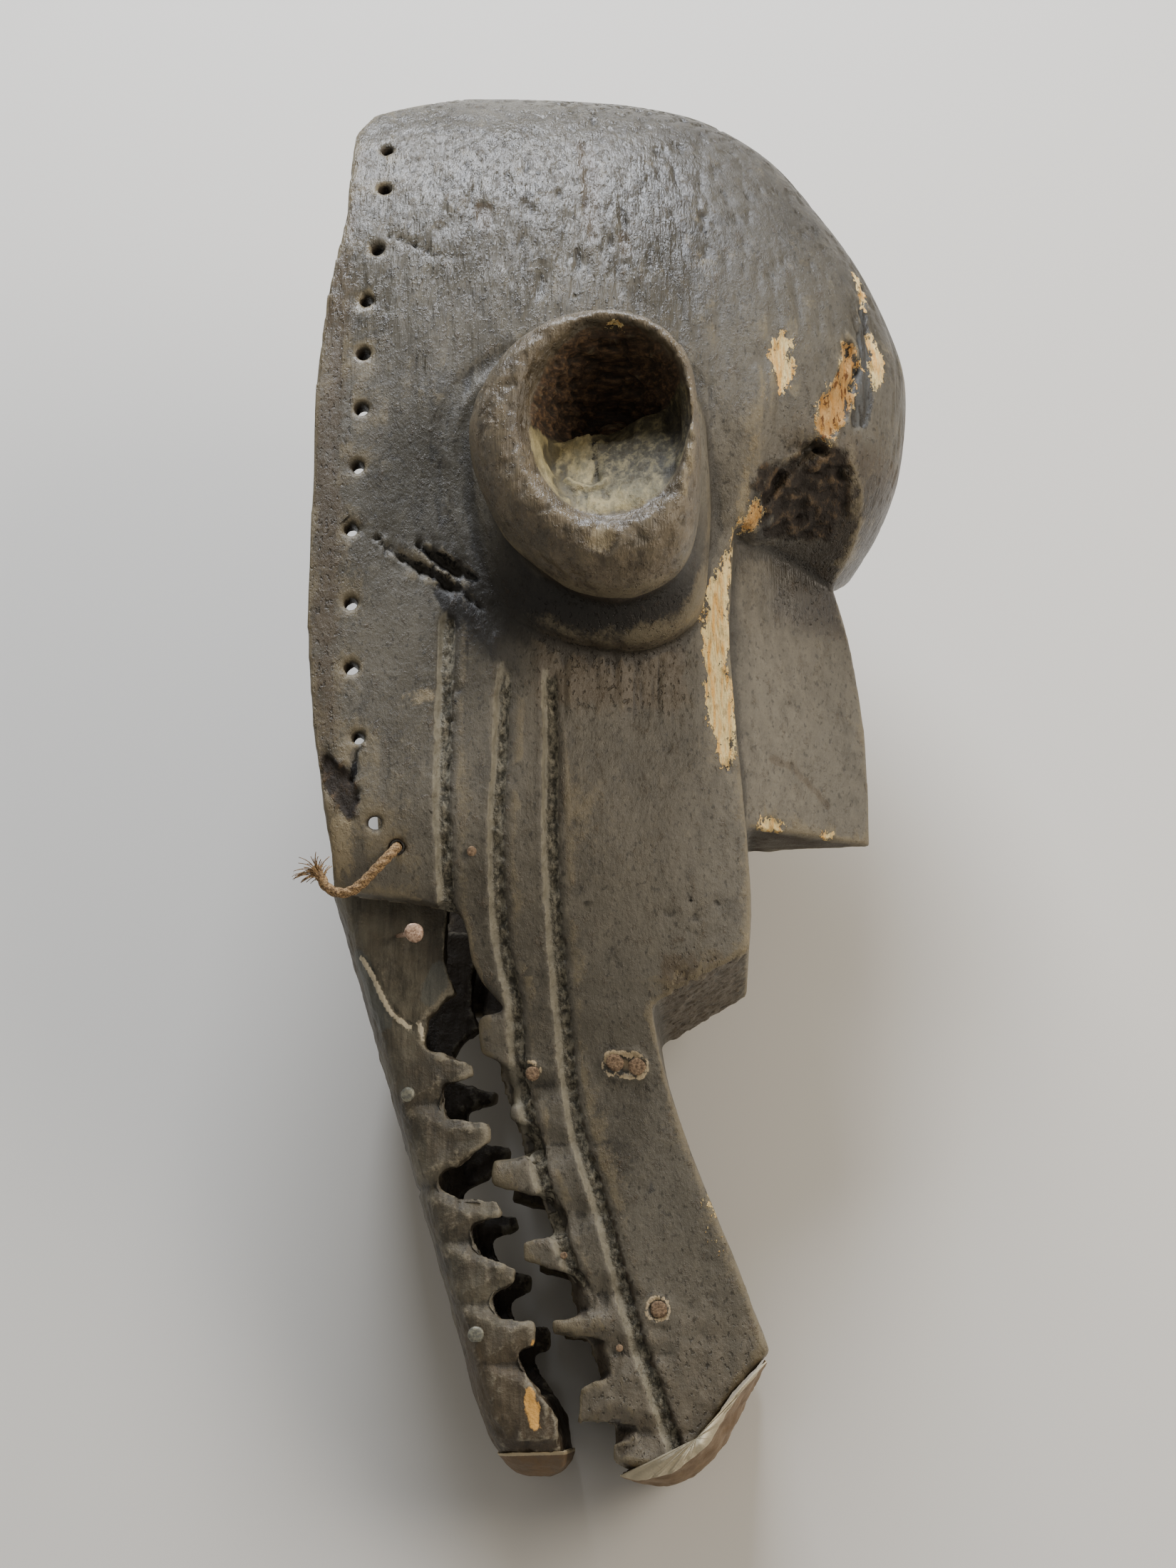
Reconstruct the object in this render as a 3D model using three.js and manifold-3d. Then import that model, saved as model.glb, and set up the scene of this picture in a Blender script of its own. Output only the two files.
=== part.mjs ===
// A carved wooden mask with a domed forehead, side sockets and a long toothed muzzle, lying on its side.
// The model is made in the mask's own frame and then laid down as a whole. Lengths are millimetres.
// In the mask's frame x runs to the front of the face, y to the crown and z to the near side.

import * as THREE from 'three';
import { mergeVertices } from 'three/addons/utils/BufferGeometryUtils.js';
import Module from 'manifold-3d';

const wasm = await Module();
wasm.setup();

// Head
const CROWN = 748;
const BROW_LOW = 470;
const DOME_POWER = 2.3;
const HEAD_HALF_WIDTH = 105;
const ARCH_SPRING = 480;
const ARCH_POWER = 2.4;
const HEAD_TAPER_TOP = 345;
const WALL = 13;
const DOME_WALL = 22;
const LEAST_WALL = 4;

// Forehead, seen from the side: how far it stands out at each height
const FOREHEAD = [
  { y: 470, x: 239 }, { y: 485, x: 253 }, { y: 504, x: 266 }, { y: 528, x: 276 }, { y: 560, x: 281 },
  { y: 584, x: 281 }, { y: 613, x: 273 }, { y: 644, x: 259 }, { y: 671, x: 242 }, { y: 703, x: 220 },
  { y: 720, x: 202 }, { y: 733, x: 180 }, { y: 742, x: 140 }, { y: 747, x: 90 }, { y: 748, x: 45 },
];

// Rim, the open back, seen from the side
const RIM = -10.5;
const RIM_LINE = [
  [90, 775], [52, 738], [26, 725], [8, 716], [0, 700], [0, 645], [-8, 592],
  [RIM, 545], [RIM, 420], [-6, 371], [3, 312],
];

// Face
const FACE = [
  { y: 272, x: 193.5 }, { y: 300, x: 195 }, { y: 352, x: 192 }, { y: 387, x: 189 }, { y: 435, x: 187 },
  { y: 474, x: 190 },
];
const FACE_REACH = 193;
const FACE_WALL = 16;
const CHEEK_FRONT_HALF_WIDTH = 62;
const CHEEK_BOW = 1.6;
const CHIN_TOP = 272;
const CHIN_ROOT = { x: 148.5, y: 246.5 };
const NOSE = { low: 335, high: 505, lowHalf: 46, highHalf: 52, root: 178, farRise: 9 };
const NOSE_RIDGE = [
  { y: 335, x: 255 }, { y: 368, x: 255 }, { y: 397, x: 253.5 }, { y: 424, x: 251 }, { y: 451, x: 246 },
  { y: 505, x: 231 },
];
const NOSE_RIDGE_HALF = 2.2;

// Muzzle, the upper jaw
const MUZZLE_TOP = 215;
const MUZZLE_TIP = 40;
const MUZZLE_TIP_HALF_WIDTH = 43.5;
const MUZZLE_TAPER = 0.106;
const MUZZLE_EDGE_INSET = 7;
const MUZZLE_FRONT = [
  { y: 0, x: 236 }, { y: 95, x: 198.5 }, { y: 126, x: 187 }, { y: 158, x: 174 }, { y: 196, x: 160.5 },
  { y: 227, x: 152 }, { y: 246.5, x: 148.5 },
];
const MUZZLE_WALL = 13;
const MUZZLE_END = [[199, 91], [184, 75], [168, 53], [154, 42.5], [138, 40], [122, 42]];
const UPPER_GUM = { x: 88, y: 210, slope: 0.331 };
const GUM_BEVEL = 10;

// Lower jaw
const JAW = { root: 306, tip: 37.5, bottomX: -4, bottomY: 295, slope: 0.301, floor: 12, wall: 11 };
const JAW_TIP_HALF_WIDTH = 42;
const JAW_TAPER = 0.091;

// Side sockets: the lip stands on a wider foot, and the pit opens inside the lip
const SOCKET_LIP = [
  [127, 556], [150, 551], [168, 536], [174, 506], [172, 460], [162, 427], [144, 414], [118, 427], [90, 449],
  [73, 478], [69, 506], [80, 533], [101, 551],
];
const SOCKET_FOOT = [
  [127, 558], [154, 553], [173, 538], [178, 506], [177, 458], [171, 426], [148, 408], [112, 409], [78, 424],
  [61, 470], [56, 515], [70, 543], [97, 557],
];
const SOCKET_RIM = 160;
const SOCKET_ROOT = 70;
const PIT_EDGE = { x: 134, y: 500, halfX: 36, halfY: 46 };
const PIT_FLOOR = { x: 134, y: 511, halfX: 14, halfY: 14, z: 98 };

// Holes, grooves and cord
const LASH_RADIUS = 3.6;
const GROOVE_RADIUS = 3.4;
const CORD_RADIUS = 2.5;

// Hide
const HIDE_THICKNESS = 1.4;

// Rest: the far socket's lip and the tip of the jaw touch the floor, each with a small flat.
// The floor lies this far along its own upward normal, both in the mask's frame.
const FLOOR_NORMAL = { x: 0.03, y: 0.2796, z: 0.9597 };
const FLOOR_HEIGHT = -24.2;

// Gap that touching pieces keep
const GAP = 0.3;

const WOOD_DARK = 0x3f372f;
const WOOD_JAW = 0x463a2e;
const RUST = 0x5b3527;
const COPPER_TAN = 0x9a7460;
const GREY_METAL = 0x6d6f66;
const HIDE = 0x8a6a4c;
const FIBRE = 0x7a5f42;

const { smoothstep, lerp } = THREE.MathUtils;
const vec = (x, y, z) => new THREE.Vector3(x, y, z);

// Solids

function toSolid(geometry) {
  const bare = geometry.clone();
  bare.deleteAttribute('normal');
  bare.deleteAttribute('uv');
  const merged = mergeVertices(bare, 1e-3);
  const points = merged.attributes.position;
  const corners = new Uint32Array(merged.index.array);
  const at = (i) => new THREE.Vector3().fromBufferAttribute(points, i);
  let sixfoldVolume = 0;
  for (let i = 0; i < corners.length; i += 3) {
    sixfoldVolume += at(corners[i]).dot(at(corners[i + 1]).cross(at(corners[i + 2])));
  }
  if (sixfoldVolume < 0) corners.reverse();
  return new wasm.Manifold(new wasm.Mesh({
    numProp: 3,
    vertProperties: new Float32Array(points.array),
    triVerts: corners,
  }));
}

function toGeometry(solid) {
  const mesh = solid.getMesh();
  const geometry = new THREE.BufferGeometry();
  geometry.setAttribute('position', new THREE.BufferAttribute(new Float32Array(mesh.vertProperties), 3));
  geometry.setIndex(new THREE.BufferAttribute(new Uint32Array(mesh.triVerts), 1));
  return geometry;
}

// A closed skin over rings of points, each ring the same length, with a fan at each end.
function loft(rings) {
  const around = rings[0].length;
  const points = rings.flat();
  const index = [];
  for (let i = 0; i < around; i += 1) {
    const next = (i + 1) % around;
    for (let r = 0; r + 1 < rings.length; r += 1) {
      const a = r * around + i;
      const b = r * around + next;
      index.push(b, a, a + around, b, a + around, b + around);
    }
  }
  for (const r of [0, rings.length - 1]) {
    const centre = rings[r].reduce((sum, p) => sum.add(p), vec(0, 0, 0)).divideScalar(around);
    const hub = points.push(centre) - 1;
    for (let i = 0; i < around; i += 1) {
      const a = r * around + i;
      const b = r * around + ((i + 1) % around);
      index.push(...(r === 0 ? [hub, a, b] : [hub, b, a]));
    }
  }
  const geometry = new THREE.BufferGeometry().setFromPoints(points);
  return toSolid(geometry.setIndex(index));
}

// A sheet between two matching grids of points, closed along its four edges.
function sheet(inner, outer) {
  const rows = inner.length;
  const columns = inner[0].length;
  const index = [];
  const at = (layer, r, c) => (layer * rows + r) * columns + c;
  const quad = (a, b, c, d) => index.push(a, b, c, a, c, d);
  for (let r = 0; r + 1 < rows; r += 1) {
    for (let c = 0; c + 1 < columns; c += 1) {
      quad(at(0, r, c), at(0, r, c + 1), at(0, r + 1, c + 1), at(0, r + 1, c));
      quad(at(1, r, c), at(1, r + 1, c), at(1, r + 1, c + 1), at(1, r, c + 1));
    }
    const side = columns - 1;
    quad(at(0, r, 0), at(0, r + 1, 0), at(1, r + 1, 0), at(1, r, 0));
    quad(at(0, r + 1, side), at(0, r, side), at(1, r, side), at(1, r + 1, side));
  }
  for (let c = 0; c + 1 < columns; c += 1) {
    const end = rows - 1;
    quad(at(0, 0, c + 1), at(0, 0, c), at(1, 0, c), at(1, 0, c + 1));
    quad(at(0, end, c), at(0, end, c + 1), at(1, end, c + 1), at(1, end, c));
  }
  const geometry = new THREE.BufferGeometry().setFromPoints([...inner.flat(), ...outer.flat()]);
  return toSolid(geometry.setIndex(index));
}

// A plate with the given side outline, [x, y] pairs, from one z to another.
function plate(outline, zLow, zHigh) {
  const shape = new THREE.Shape(outline.map(([x, y]) => new THREE.Vector2(x, y)));
  const geometry = new THREE.ExtrudeGeometry(shape, { depth: zHigh - zLow, bevelEnabled: false });
  return toSolid(geometry.translate(0, 0, zLow));
}

// A rod of even section along a smooth curve through the given points.
function rod(points, radius, sides, steps) {
  const corners = [];
  for (let i = 0; i < sides; i += 1) {
    const turn = (i / sides) * 2 * Math.PI;
    corners.push(new THREE.Vector2(radius * Math.cos(turn), radius * Math.sin(turn)));
  }
  const extrudePath = new THREE.CatmullRomCurve3(points);
  return toSolid(new THREE.ExtrudeGeometry(new THREE.Shape(corners), { steps, extrudePath }));
}

// A round peg from one point to another, with its own radius at each end.
function peg(from, to, radiusFrom, radiusTo, sides) {
  const length = from.distanceTo(to);
  const geometry = new THREE.CylinderGeometry(radiusTo, radiusFrom, length, sides);
  const turn = new THREE.Quaternion().setFromUnitVectors(vec(0, 1, 0), to.clone().sub(from).normalize());
  geometry.translate(0, length / 2, 0).applyQuaternion(turn);
  return toSolid(geometry.translate(from.x, from.y, from.z));
}

function sumOf(solids) {
  return solids.reduce((all, solid) => all.add(solid));
}

function mirrored(point) {
  return vec(point.x, point.y, -point.z);
}

function mirroredSolid(solid) {
  return toSolid(toGeometry(solid).scale(1, 1, -1));
}

function grownAbout(solid, centre, growth) {
  const geometry = toGeometry(solid).translate(-centre.x, -centre.y, -centre.z);
  geometry.scale(growth.x, growth.y, growth.z).translate(centre.x, centre.y, centre.z);
  return toSolid(geometry);
}

// The x at height y on a smooth line through { y, x } marks, lowest first.
function through(marks, y) {
  const last = marks.length - 1;
  const next = marks.findIndex((mark) => mark.y >= y);
  const i = next < 0 ? last : Math.max(1, next);
  const slope = (k) => {
    const below = marks[Math.max(0, k - 1)];
    const above = marks[Math.min(last, k + 1)];
    return (above.x - below.x) / (above.y - below.y);
  };
  const span = marks[i].y - marks[i - 1].y;
  const t = THREE.MathUtils.clamp((y - marks[i - 1].y) / span, 0, 1);
  const low = marks[i - 1].x;
  const high = marks[i].x;
  const bend = t * t * (3 - 2 * t);
  const leave = t * (1 - t) * (1 - t) * span * slope(i - 1);
  const arrive = t * t * (t - 1) * span * slope(i);
  return low + (high - low) * bend + leave + arrive;
}

// Forms of the outside, as functions of the height y

// Half the width of the head and muzzle at the open back.
function halfWidth(y) {
  if (y > ARCH_SPRING) {
    const rise = Math.min(1, (y - ARCH_SPRING) / (CROWN - ARCH_SPRING));
    return HEAD_HALF_WIDTH * (1 - rise ** ARCH_POWER) ** (1 / ARCH_POWER);
  }
  const muzzle = MUZZLE_TIP_HALF_WIDTH + MUZZLE_TAPER * (Math.min(y, MUZZLE_TOP) - MUZZLE_TIP);
  return muzzle + (HEAD_HALF_WIDTH - muzzle) * smoothstep(y, MUZZLE_TOP - 10, HEAD_TAPER_TOP);
}

// How far the front stands out: forehead above, muzzle below.
function frontReach(y) {
  if (y >= BROW_LOW) return through(FOREHEAD, y);
  return y > CHIN_ROOT.y ? FOREHEAD[0].x : through(MUZZLE_FRONT, y);
}

// Half the width at x of a section through the cheeks or the muzzle, a little bowed.
function bowedSide(x, y) {
  const back = halfWidth(y);
  const onMuzzle = y < CHIN_ROOT.y;
  const front = onMuzzle ? back - MUZZLE_EDGE_INSET : Math.min(CHEEK_FRONT_HALF_WIDTH, back - 8);
  const reach = onMuzzle ? through(MUZZLE_FRONT, y) : FACE_REACH;
  return x <= 0 ? back : back - (back - front) * (x / reach) ** CHEEK_BOW;
}

// Half outlines of a section, for t from 0 at the middle of the front to 1 behind the rim.
const FRONT_SHARE = 0.25;
const ROUND_SHARE = 0.8;
const BACK_OVERRUN = -25;

function bowedPoint(t, y, inset) {
  const reach = frontReach(y) - inset.front;
  if (t < FRONT_SHARE) return [reach, ((bowedSide(reach, y) - inset.side) * t) / FRONT_SHARE];
  const x = lerp(reach, BACK_OVERRUN, (t - FRONT_SHARE) / (1 - FRONT_SHARE));
  return [x, bowedSide(x, y) - inset.side];
}

function roundPoint(t, y, inset) {
  const half = halfWidth(y) - inset.side;
  const reach = frontReach(y) - inset.front;
  const shoulder = Math.min(30, reach * 0.3);
  if (t > ROUND_SHARE) return [lerp(shoulder, BACK_OVERRUN, (t - ROUND_SHARE) / (1 - ROUND_SHARE)), half];
  const turn = (t / ROUND_SHARE) * (Math.PI / 2);
  const x = shoulder + (reach - shoulder) * Math.cos(turn) ** (2 / DOME_POWER);
  return [x, half * Math.sin(turn) ** (2 / DOME_POWER)];
}

function halfSection(y, inset, count) {
  const roundness = smoothstep(y, BROW_LOW - 15, BROW_LOW + 70);
  const half = [];
  for (let i = 0; i < count; i += 1) {
    const t = i / (count - 1);
    const bowed = bowedPoint(t, y, inset);
    const round = roundPoint(t, y, inset);
    half.push([lerp(bowed[0], round[0], roundness), lerp(bowed[1], round[1], roundness)]);
  }
  return half;
}

function section(y, inset, count) {
  const half = halfSection(y, inset, count);
  const near = half.map(([x, z]) => vec(x, y, z));
  const far = half.slice(1).reverse().map(([x, z]) => vec(x, y, -z));
  return [...near, ...far];
}

const NO_INSET = { side: 0, front: 0 };

// Where the near side's skin lies at (x, y), for whatever is cut into it or sits on it.
function skinAt(x, y) {
  const half = halfSection(y, NO_INSET, 60);
  const i = Math.max(1, half.findIndex((point) => point[0] <= x));
  const [xa, za] = half[i - 1];
  const [xb, zb] = half[i];
  return lerp(za, zb, (xa - x) / (xa - xb));
}

function skinNormal(x, y) {
  const step = 3;
  const slopeX = (skinAt(x + step, y) - skinAt(x - step, y)) / (2 * step);
  const slopeY = (skinAt(x, y + step) - skinAt(x, y - step)) / (2 * step);
  return vec(-slopeX, -slopeY, 1).normalize();
}

function skinPoint(x, y, lift = 0) {
  return vec(x, y, skinAt(x, y)).addScaledVector(skinNormal(x, y), lift);
}

// The block of the head and muzzle, before anything is cut from it.
function outerBlock() {
  const heights = [];
  for (let i = 0; i <= 6; i += 1) heights.push(lerp(25, CHIN_ROOT.y - 1, i / 6));
  for (let i = 0; i <= 6; i += 1) heights.push(lerp(CHIN_ROOT.y + 12, BROW_LOW - 15, i / 6));
  for (let i = 1; i <= 13; i += 1) {
    heights.push(lerp(BROW_LOW - 15, CROWN - 0.4, Math.sin((i / 13) * (Math.PI / 2))));
  }
  return loft(heights.map((y) => section(y, NO_INSET, 14)));
}

// The hollow behind, from under the crown down into the channel of the muzzle.
function hollow() {
  const cavityFront = (y) => {
    const channel = through(MUZZLE_FRONT, Math.min(y, CHIN_ROOT.y)) - MUZZLE_WALL;
    const face = through(FACE, y) - FACE_WALL;
    const low = lerp(channel, face, smoothstep(y, CHIN_ROOT.y + 12, CHIN_TOP + 16));
    return lerp(low, frontReach(y) - DOME_WALL, smoothstep(y, BROW_LOW + 25, BROW_LOW + 95));
  };
  const heights = [60, 140, 215, 258, 275, 292, 345, 400, 455, 495, 545];
  for (let i = 1; i <= 6; i += 1) {
    heights.push(lerp(545, CROWN - WALL - 2, Math.sin((i / 6) * (Math.PI / 2))));
  }
  const rings = heights.map((y) => {
    const above = y + WALL * smoothstep(y, ARCH_SPRING, CROWN - 40);
    const side = Math.min(halfWidth(y) - halfWidth(above) + WALL, halfWidth(y) - LEAST_WALL);
    const front = Math.min(frontReach(y) - cavityFront(y), frontReach(y) - 8);
    return section(y, { side, front }, 10);
  });
  const wall = MUZZLE_WALL + 4;
  const inEnd = MUZZLE_END.map(([x, y]) => [x - 4, y + wall]);
  const endWall = plate([[240, inEnd[0][1]], ...inEnd, [90, 40], [90, 20], [240, 20]], -90, 90);
  return loft(rings).subtract(endWall);
}

// Everything in front of the face and under the brow. Its ceiling rises towards the sides.
function faceCut() {
  const reach = FACE_REACH + 110;
  const ceiling = (x, z) => {
    const side = Math.min(Math.abs(z), 75) / 60;
    return BROW_LOW + 12 * side + Math.max(0, x - 200) * side * side;
  };
  const columns = 12;
  const rows = 5;
  const rings = [];
  for (let i = 0; i <= columns; i += 1) {
    const z = lerp(-130, 130, i / columns);
    const ring = [];
    for (let j = 0; j <= rows; j += 1) {
      const x = lerp(FACE[FACE.length - 1].x, reach, (j / rows) ** 1.4);
      ring.push(vec(x, ceiling(x, z), z));
    }
    ring.push(vec(reach, 235, z), vec(CHIN_ROOT.x + 10, 235, z), vec(CHIN_ROOT.x, CHIN_ROOT.y, z));
    for (const mark of FACE.slice(0, -1)) ring.push(vec(mark.x, mark.y, z));
    rings.push(ring);
  }
  return loft(rings);
}

// The nose is a broad wedge with a worn ridge. Its flat underside is cut askew, higher on the far side.
function nose() {
  const rings = [];
  for (let i = 0; i <= 7; i += 1) {
    const y = lerp(NOSE.low, NOSE.high, i / 7);
    const ridge = through(NOSE_RIDGE, y);
    const face = through(FACE, Math.min(y, FACE[FACE.length - 1].y));
    const half = lerp(NOSE.lowHalf, NOSE.highHalf, i / 7);
    const slopeMiddle = [lerp(ridge, face, 0.5) + 1.5, half * 0.5];
    const near = [[ridge, NOSE_RIDGE_HALF], slopeMiddle, [face, half], [NOSE.root, half + 4]];
    const farY = (z) => y + (NOSE.farRise * (1 - i / 7) * z) / half;
    rings.push([
      ...near.map(([x, z]) => vec(x, y, z)),
      ...near.slice().reverse().map(([x, z]) => vec(x, farY(z), -z)),
    ]);
  }
  return loft(rings);
}

// A side socket stands out like a cup with an egg-shaped, rounded lip around a deep pit.
const SOCKET_AROUND = 20;

function closedOutline(marks) {
  const curve = new THREE.CatmullRomCurve3(marks.map(([x, y]) => vec(x, y, 0)), true);
  const points = [];
  for (let i = 0; i < SOCKET_AROUND; i += 1) points.push(curve.getPoint(i / SOCKET_AROUND));
  return points;
}

// An oval inside the lip, met by the same directions from its middle as the points of the lip.
function ovalWithin(lip, { x, y, halfX, halfY }) {
  return lip.map((point) => {
    const turn = Math.atan2((point.y - y) / halfY, (point.x - x) / halfX);
    return vec(x + halfX * Math.cos(turn), y + halfY * Math.sin(turn), 0);
  });
}

function between(from, to, share, z) {
  return from.map((point, i) => vec(lerp(point.x, to[i].x, share), lerp(point.y, to[i].y, share), z));
}

function socket() {
  const lip = closedOutline(SOCKET_LIP);
  const foot = closedOutline(SOCKET_FOOT);
  const pit = ovalWithin(lip, PIT_EDGE);
  const wall = [[SOCKET_ROOT, 0], [94, 0.05], [108, 0.45], [122, 0.8], [144, 1]];
  const top = [[SOCKET_RIM - 9, 0.06], [SOCKET_RIM - 3.5, 0.2], [SOCKET_RIM, 0.45]];
  return loft([
    ...wall.map(([z, share]) => between(foot, lip, share, z)),
    ...top.map(([z, share]) => between(lip, pit, share, z)),
  ]);
}

function socketPit() {
  const lip = closedOutline(SOCKET_LIP);
  const pit = ovalWithin(lip, PIT_EDGE);
  const floor = ovalWithin(lip, PIT_FLOOR);
  const top = [[SOCKET_RIM + 3, 0.3], [SOCKET_RIM - 2, 0.7], [SOCKET_RIM - 8, 0.94]];
  const wall = [[0.25, 0.12], [0.5, 0.32], [0.75, 0.6], [1, 1]];
  return loft([
    ...top.map(([z, share]) => between(lip, pit, share, z)),
    ...wall.map(([depth, share]) => between(pit, floor, share, lerp(SOCKET_RIM, PIT_FLOOR.z, depth))),
  ]);
}

// Behind the rim. Its flats follow the slight bend of the open back.
function rimCut() {
  return plate([...RIM_LINE, [3, 200], [-80, 200], [-80, 780]], -200, 200);
}

function wallHalf(y) {
  return bowedSide(upperGum(Math.min(y, UPPER_GUM.y)), y);
}

function upperGum(y) {
  return UPPER_GUM.x + (UPPER_GUM.y - y) * UPPER_GUM.slope;
}

// The mouth side of the cheek and muzzle, cut at a slant between the teeth.
// The near cheek has lost its lower back corner.
const NEAR_CHEEK_EDGE = [
  [-60, 296], [8, 296], [36, 293], [60, 288], [63, 279], [65, 267], [70, 258], [80, 247],
];
const FAR_CHEEK_EDGE = [[-60, 284], [4, 281], [32, 268], [58, 262], [71, 250], [80, 238]];

function mouthCut(cheekEdge, side) {
  const gum = [214, 170, 130, 90, 56].map((y) => [upperGum(y), y, GUM_BEVEL]);
  const end = [[139, 38, GUM_BEVEL], [139, 0, 0], [-60, 0, 0]];
  const outline = [...cheekEdge.map(([x, y]) => [x, y, 0]), ...gum, ...end];
  const ring = (share, depth) => outline.map(([x, y, bevel]) => vec(x - bevel * share, y, side * depth(y)));
  const innerFace = (y) => wallHalf(y) - MUZZLE_WALL;
  return loft([ring(1, () => -0.01), ring(1, innerFace), ring(0, wallHalf), ring(0, () => 130)]);
}

function muzzleEndCut() {
  return plate([[240, 100], [206, 98], ...MUZZLE_END, [110, 30], [100, 0], [240, 0]], -90, 90);
}

// Teeth are wedges on the edge of a side wall: top and bottom of the root, and the blunt tip.
// They thin from the root through a belly, this far along, to the tip.
const TOOTH_THICKNESS = 11;
const TOOTH_TRIM = { root: 0.6, belly: 0.9, tip: 3.2 };
const TOOTH_BELLY = 0.65;
const UPPER_TEETH = [
  { top: 248, bottom: 214, tip: 68, tipTop: 241, tipBottom: 226 },
  { top: 206, bottom: 186, tip: 82, tipTop: 202, tipBottom: 196 },
  { top: 181, bottom: 157, tip: 74, tipTop: 177, tipBottom: 166 },
  { top: 148, bottom: 122, tip: 88, tipTop: 140, tipBottom: 132 },
  { top: 111, bottom: 94, tip: 101, tipTop: 105, tipBottom: 99 },
  { top: 87, bottom: 56, tip: 114, tipTop: 76, tipBottom: 60 },
  { top: 55.5, bottom: 41, tip: 129, tipTop: 51, tipBottom: 43 },
];
const LOWER_TEETH = [
  { top: 229, bottom: 206, tip: 65, tipTop: 221, tipBottom: 216 },
  { top: 199, bottom: 166, tip: 73, tipTop: 195, tipBottom: 186 },
  { top: 163, bottom: 141, tip: 78, tipTop: 160, tipBottom: 152 },
  { top: 139, bottom: 108, tip: 85, tipTop: 129, tipBottom: 121 },
  { top: 108, bottom: 86, tip: 94, tipTop: 106, tipBottom: 93 },
  { top: 85, bottom: 52, tip: 104, tipTop: 62, tipBottom: 53 },
];

function tooth({ top, bottom, tip, tipTop, tipBottom }, rootX, half, side) {
  const outer = (y, trim) => side * (half(y) - trim);
  const inner = (y, trim) => side * (half(y) - TOOTH_THICKNESS + trim);
  const face = (x, yTop, yBottom, trim) => [
    vec(x, yTop, outer(yTop, trim)), vec(x, yBottom, outer(yBottom, trim)),
    vec(x, yBottom, inner(yBottom, trim)), vec(x, yTop, inner(yTop, trim)),
  ];
  const belly = [[rootX, tip], [top, tipTop], [bottom, tipBottom]].map(([a, b]) => lerp(a, b, TOOTH_BELLY));
  return loft([
    face(rootX, top, bottom, TOOTH_TRIM.root),
    face(...belly, TOOTH_TRIM.belly),
    face(tip, tipTop, tipBottom, TOOTH_TRIM.tip),
  ]);
}

function upperTeeth(side) {
  return sumOf(UPPER_TEETH.map((each) => tooth(each, upperGum(each.bottom) + 6, wallHalf, side)));
}

// Lashing holes follow the rim, closer together towards its ends.
const LASH_HOLES = [
  [17, 686], [18, 658], [16, 621], [12, 591], [12, 561], [12, 531], [11, 501], [9, 469], [10, 432],
  [11, 400], [15, 366], [23, 326], [33, 315],
];

function lashHoles(side, sides) {
  return sumOf(LASH_HOLES.map(([x, y]) => {
    const out = skinPoint(x, y, 6);
    const back = skinPoint(x, y, -28);
    const ends = side > 0 ? [out, back] : [mirrored(out), mirrored(back)];
    return peg(ends[0], ends[1], LASH_RADIUS, LASH_RADIUS, sides);
  }));
}

// The three cheek grooves, as [x, y] routes over the skin from under the socket to the muzzle.
const GROOVES = [
  [[55, 429], [54, 385], [54, 330], [55, 288]],
  [
    [82, 409], [80, 365], [78, 304], [80, 272], [85, 246], [86, 220], [92, 188], [99, 159], [110, 128],
  ],
  [
    [102, 405], [103, 376], [103, 325], [104, 285], [107, 240], [112, 195], [126, 148], [139, 100], [157, 48],
  ],
];

function grooves(side, stepsPerMark) {
  return sumOf(GROOVES.map((route) => {
    const points = route.map(([x, y]) => skinPoint(x, y, 0.7));
    const steps = Math.round((route.length - 1) * stepsPerMark);
    return rod(side > 0 ? points : points.map(mirrored), GROOVE_RADIUS, 6, steps);
  }));
}

// Lower jaw, a trough with teeth along both edges

function jawHalf(y) {
  return JAW_TIP_HALF_WIDTH + JAW_TAPER * (y - JAW.tip);
}

function jawBottom(y) {
  return JAW.bottomX + JAW.slope * (JAW.bottomY - y);
}

// Top edge of the jaw's side walls, through the valleys between the teeth.
const JAW_EDGE = [
  [54, 320], [52, 265], [57, 254], [51, 250], [43, 242], [42, 230], [44, 227], [53, 207], [54, 198],
  [51, 166], [58, 162], [69, 139], [78, 107.5], [90, 85.5], [104, 54], [105, 47], [104, 43], [101, 39.5],
  [95, 37], [90, 30],
];

function jawBlock() {
  const heights = [JAW.root, 220, 140, 75, 56, 46, 41, JAW.tip];
  const ease = { 56: 0.985, 46: 0.93, 41: 0.84, [JAW.tip]: 0.68 };
  return loft(heights.map((y) => {
    const half = jawHalf(y);
    const low = jawBottom(y);
    const trim = ease[y] ?? 1;
    const squeeze = (x) => lerp(low + 18, x, trim);
    const under = [[0, 0], [1, 0.48], [3.5, 0.78], [8, 0.95], [14, 1]].map(([up, share]) => [low + up, share]);
    const near = [...under, [130, 0.985]];
    const ring = near.map(([x, share]) => vec(squeeze(x), y, half * share * trim));
    return [...ring, ...ring.slice(1).reverse().map(mirrored)];
  }));
}

function jawTrough() {
  const heights = [JAW.root + 10, 200, 72];
  return loft(heights.map((y) => {
    const inner = jawHalf(y) - JAW.wall;
    const floor = jawBottom(y) + JAW.floor;
    const near = [[floor, 0], [floor + 1, inner * 0.75], [floor + 8, inner], [140, inner]];
    const ring = near.map(([x, z]) => vec(x, y, z));
    return [...ring, ...ring.slice(1).reverse().map(mirrored)];
  }));
}

function jawEdgeX(y) {
  const i = JAW_EDGE.findIndex((point) => point[1] <= y);
  const [xa, ya] = JAW_EDGE[i - 1];
  const [xb, yb] = JAW_EDGE[i];
  return lerp(xa, xb, (ya - y) / (ya - yb));
}

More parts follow.
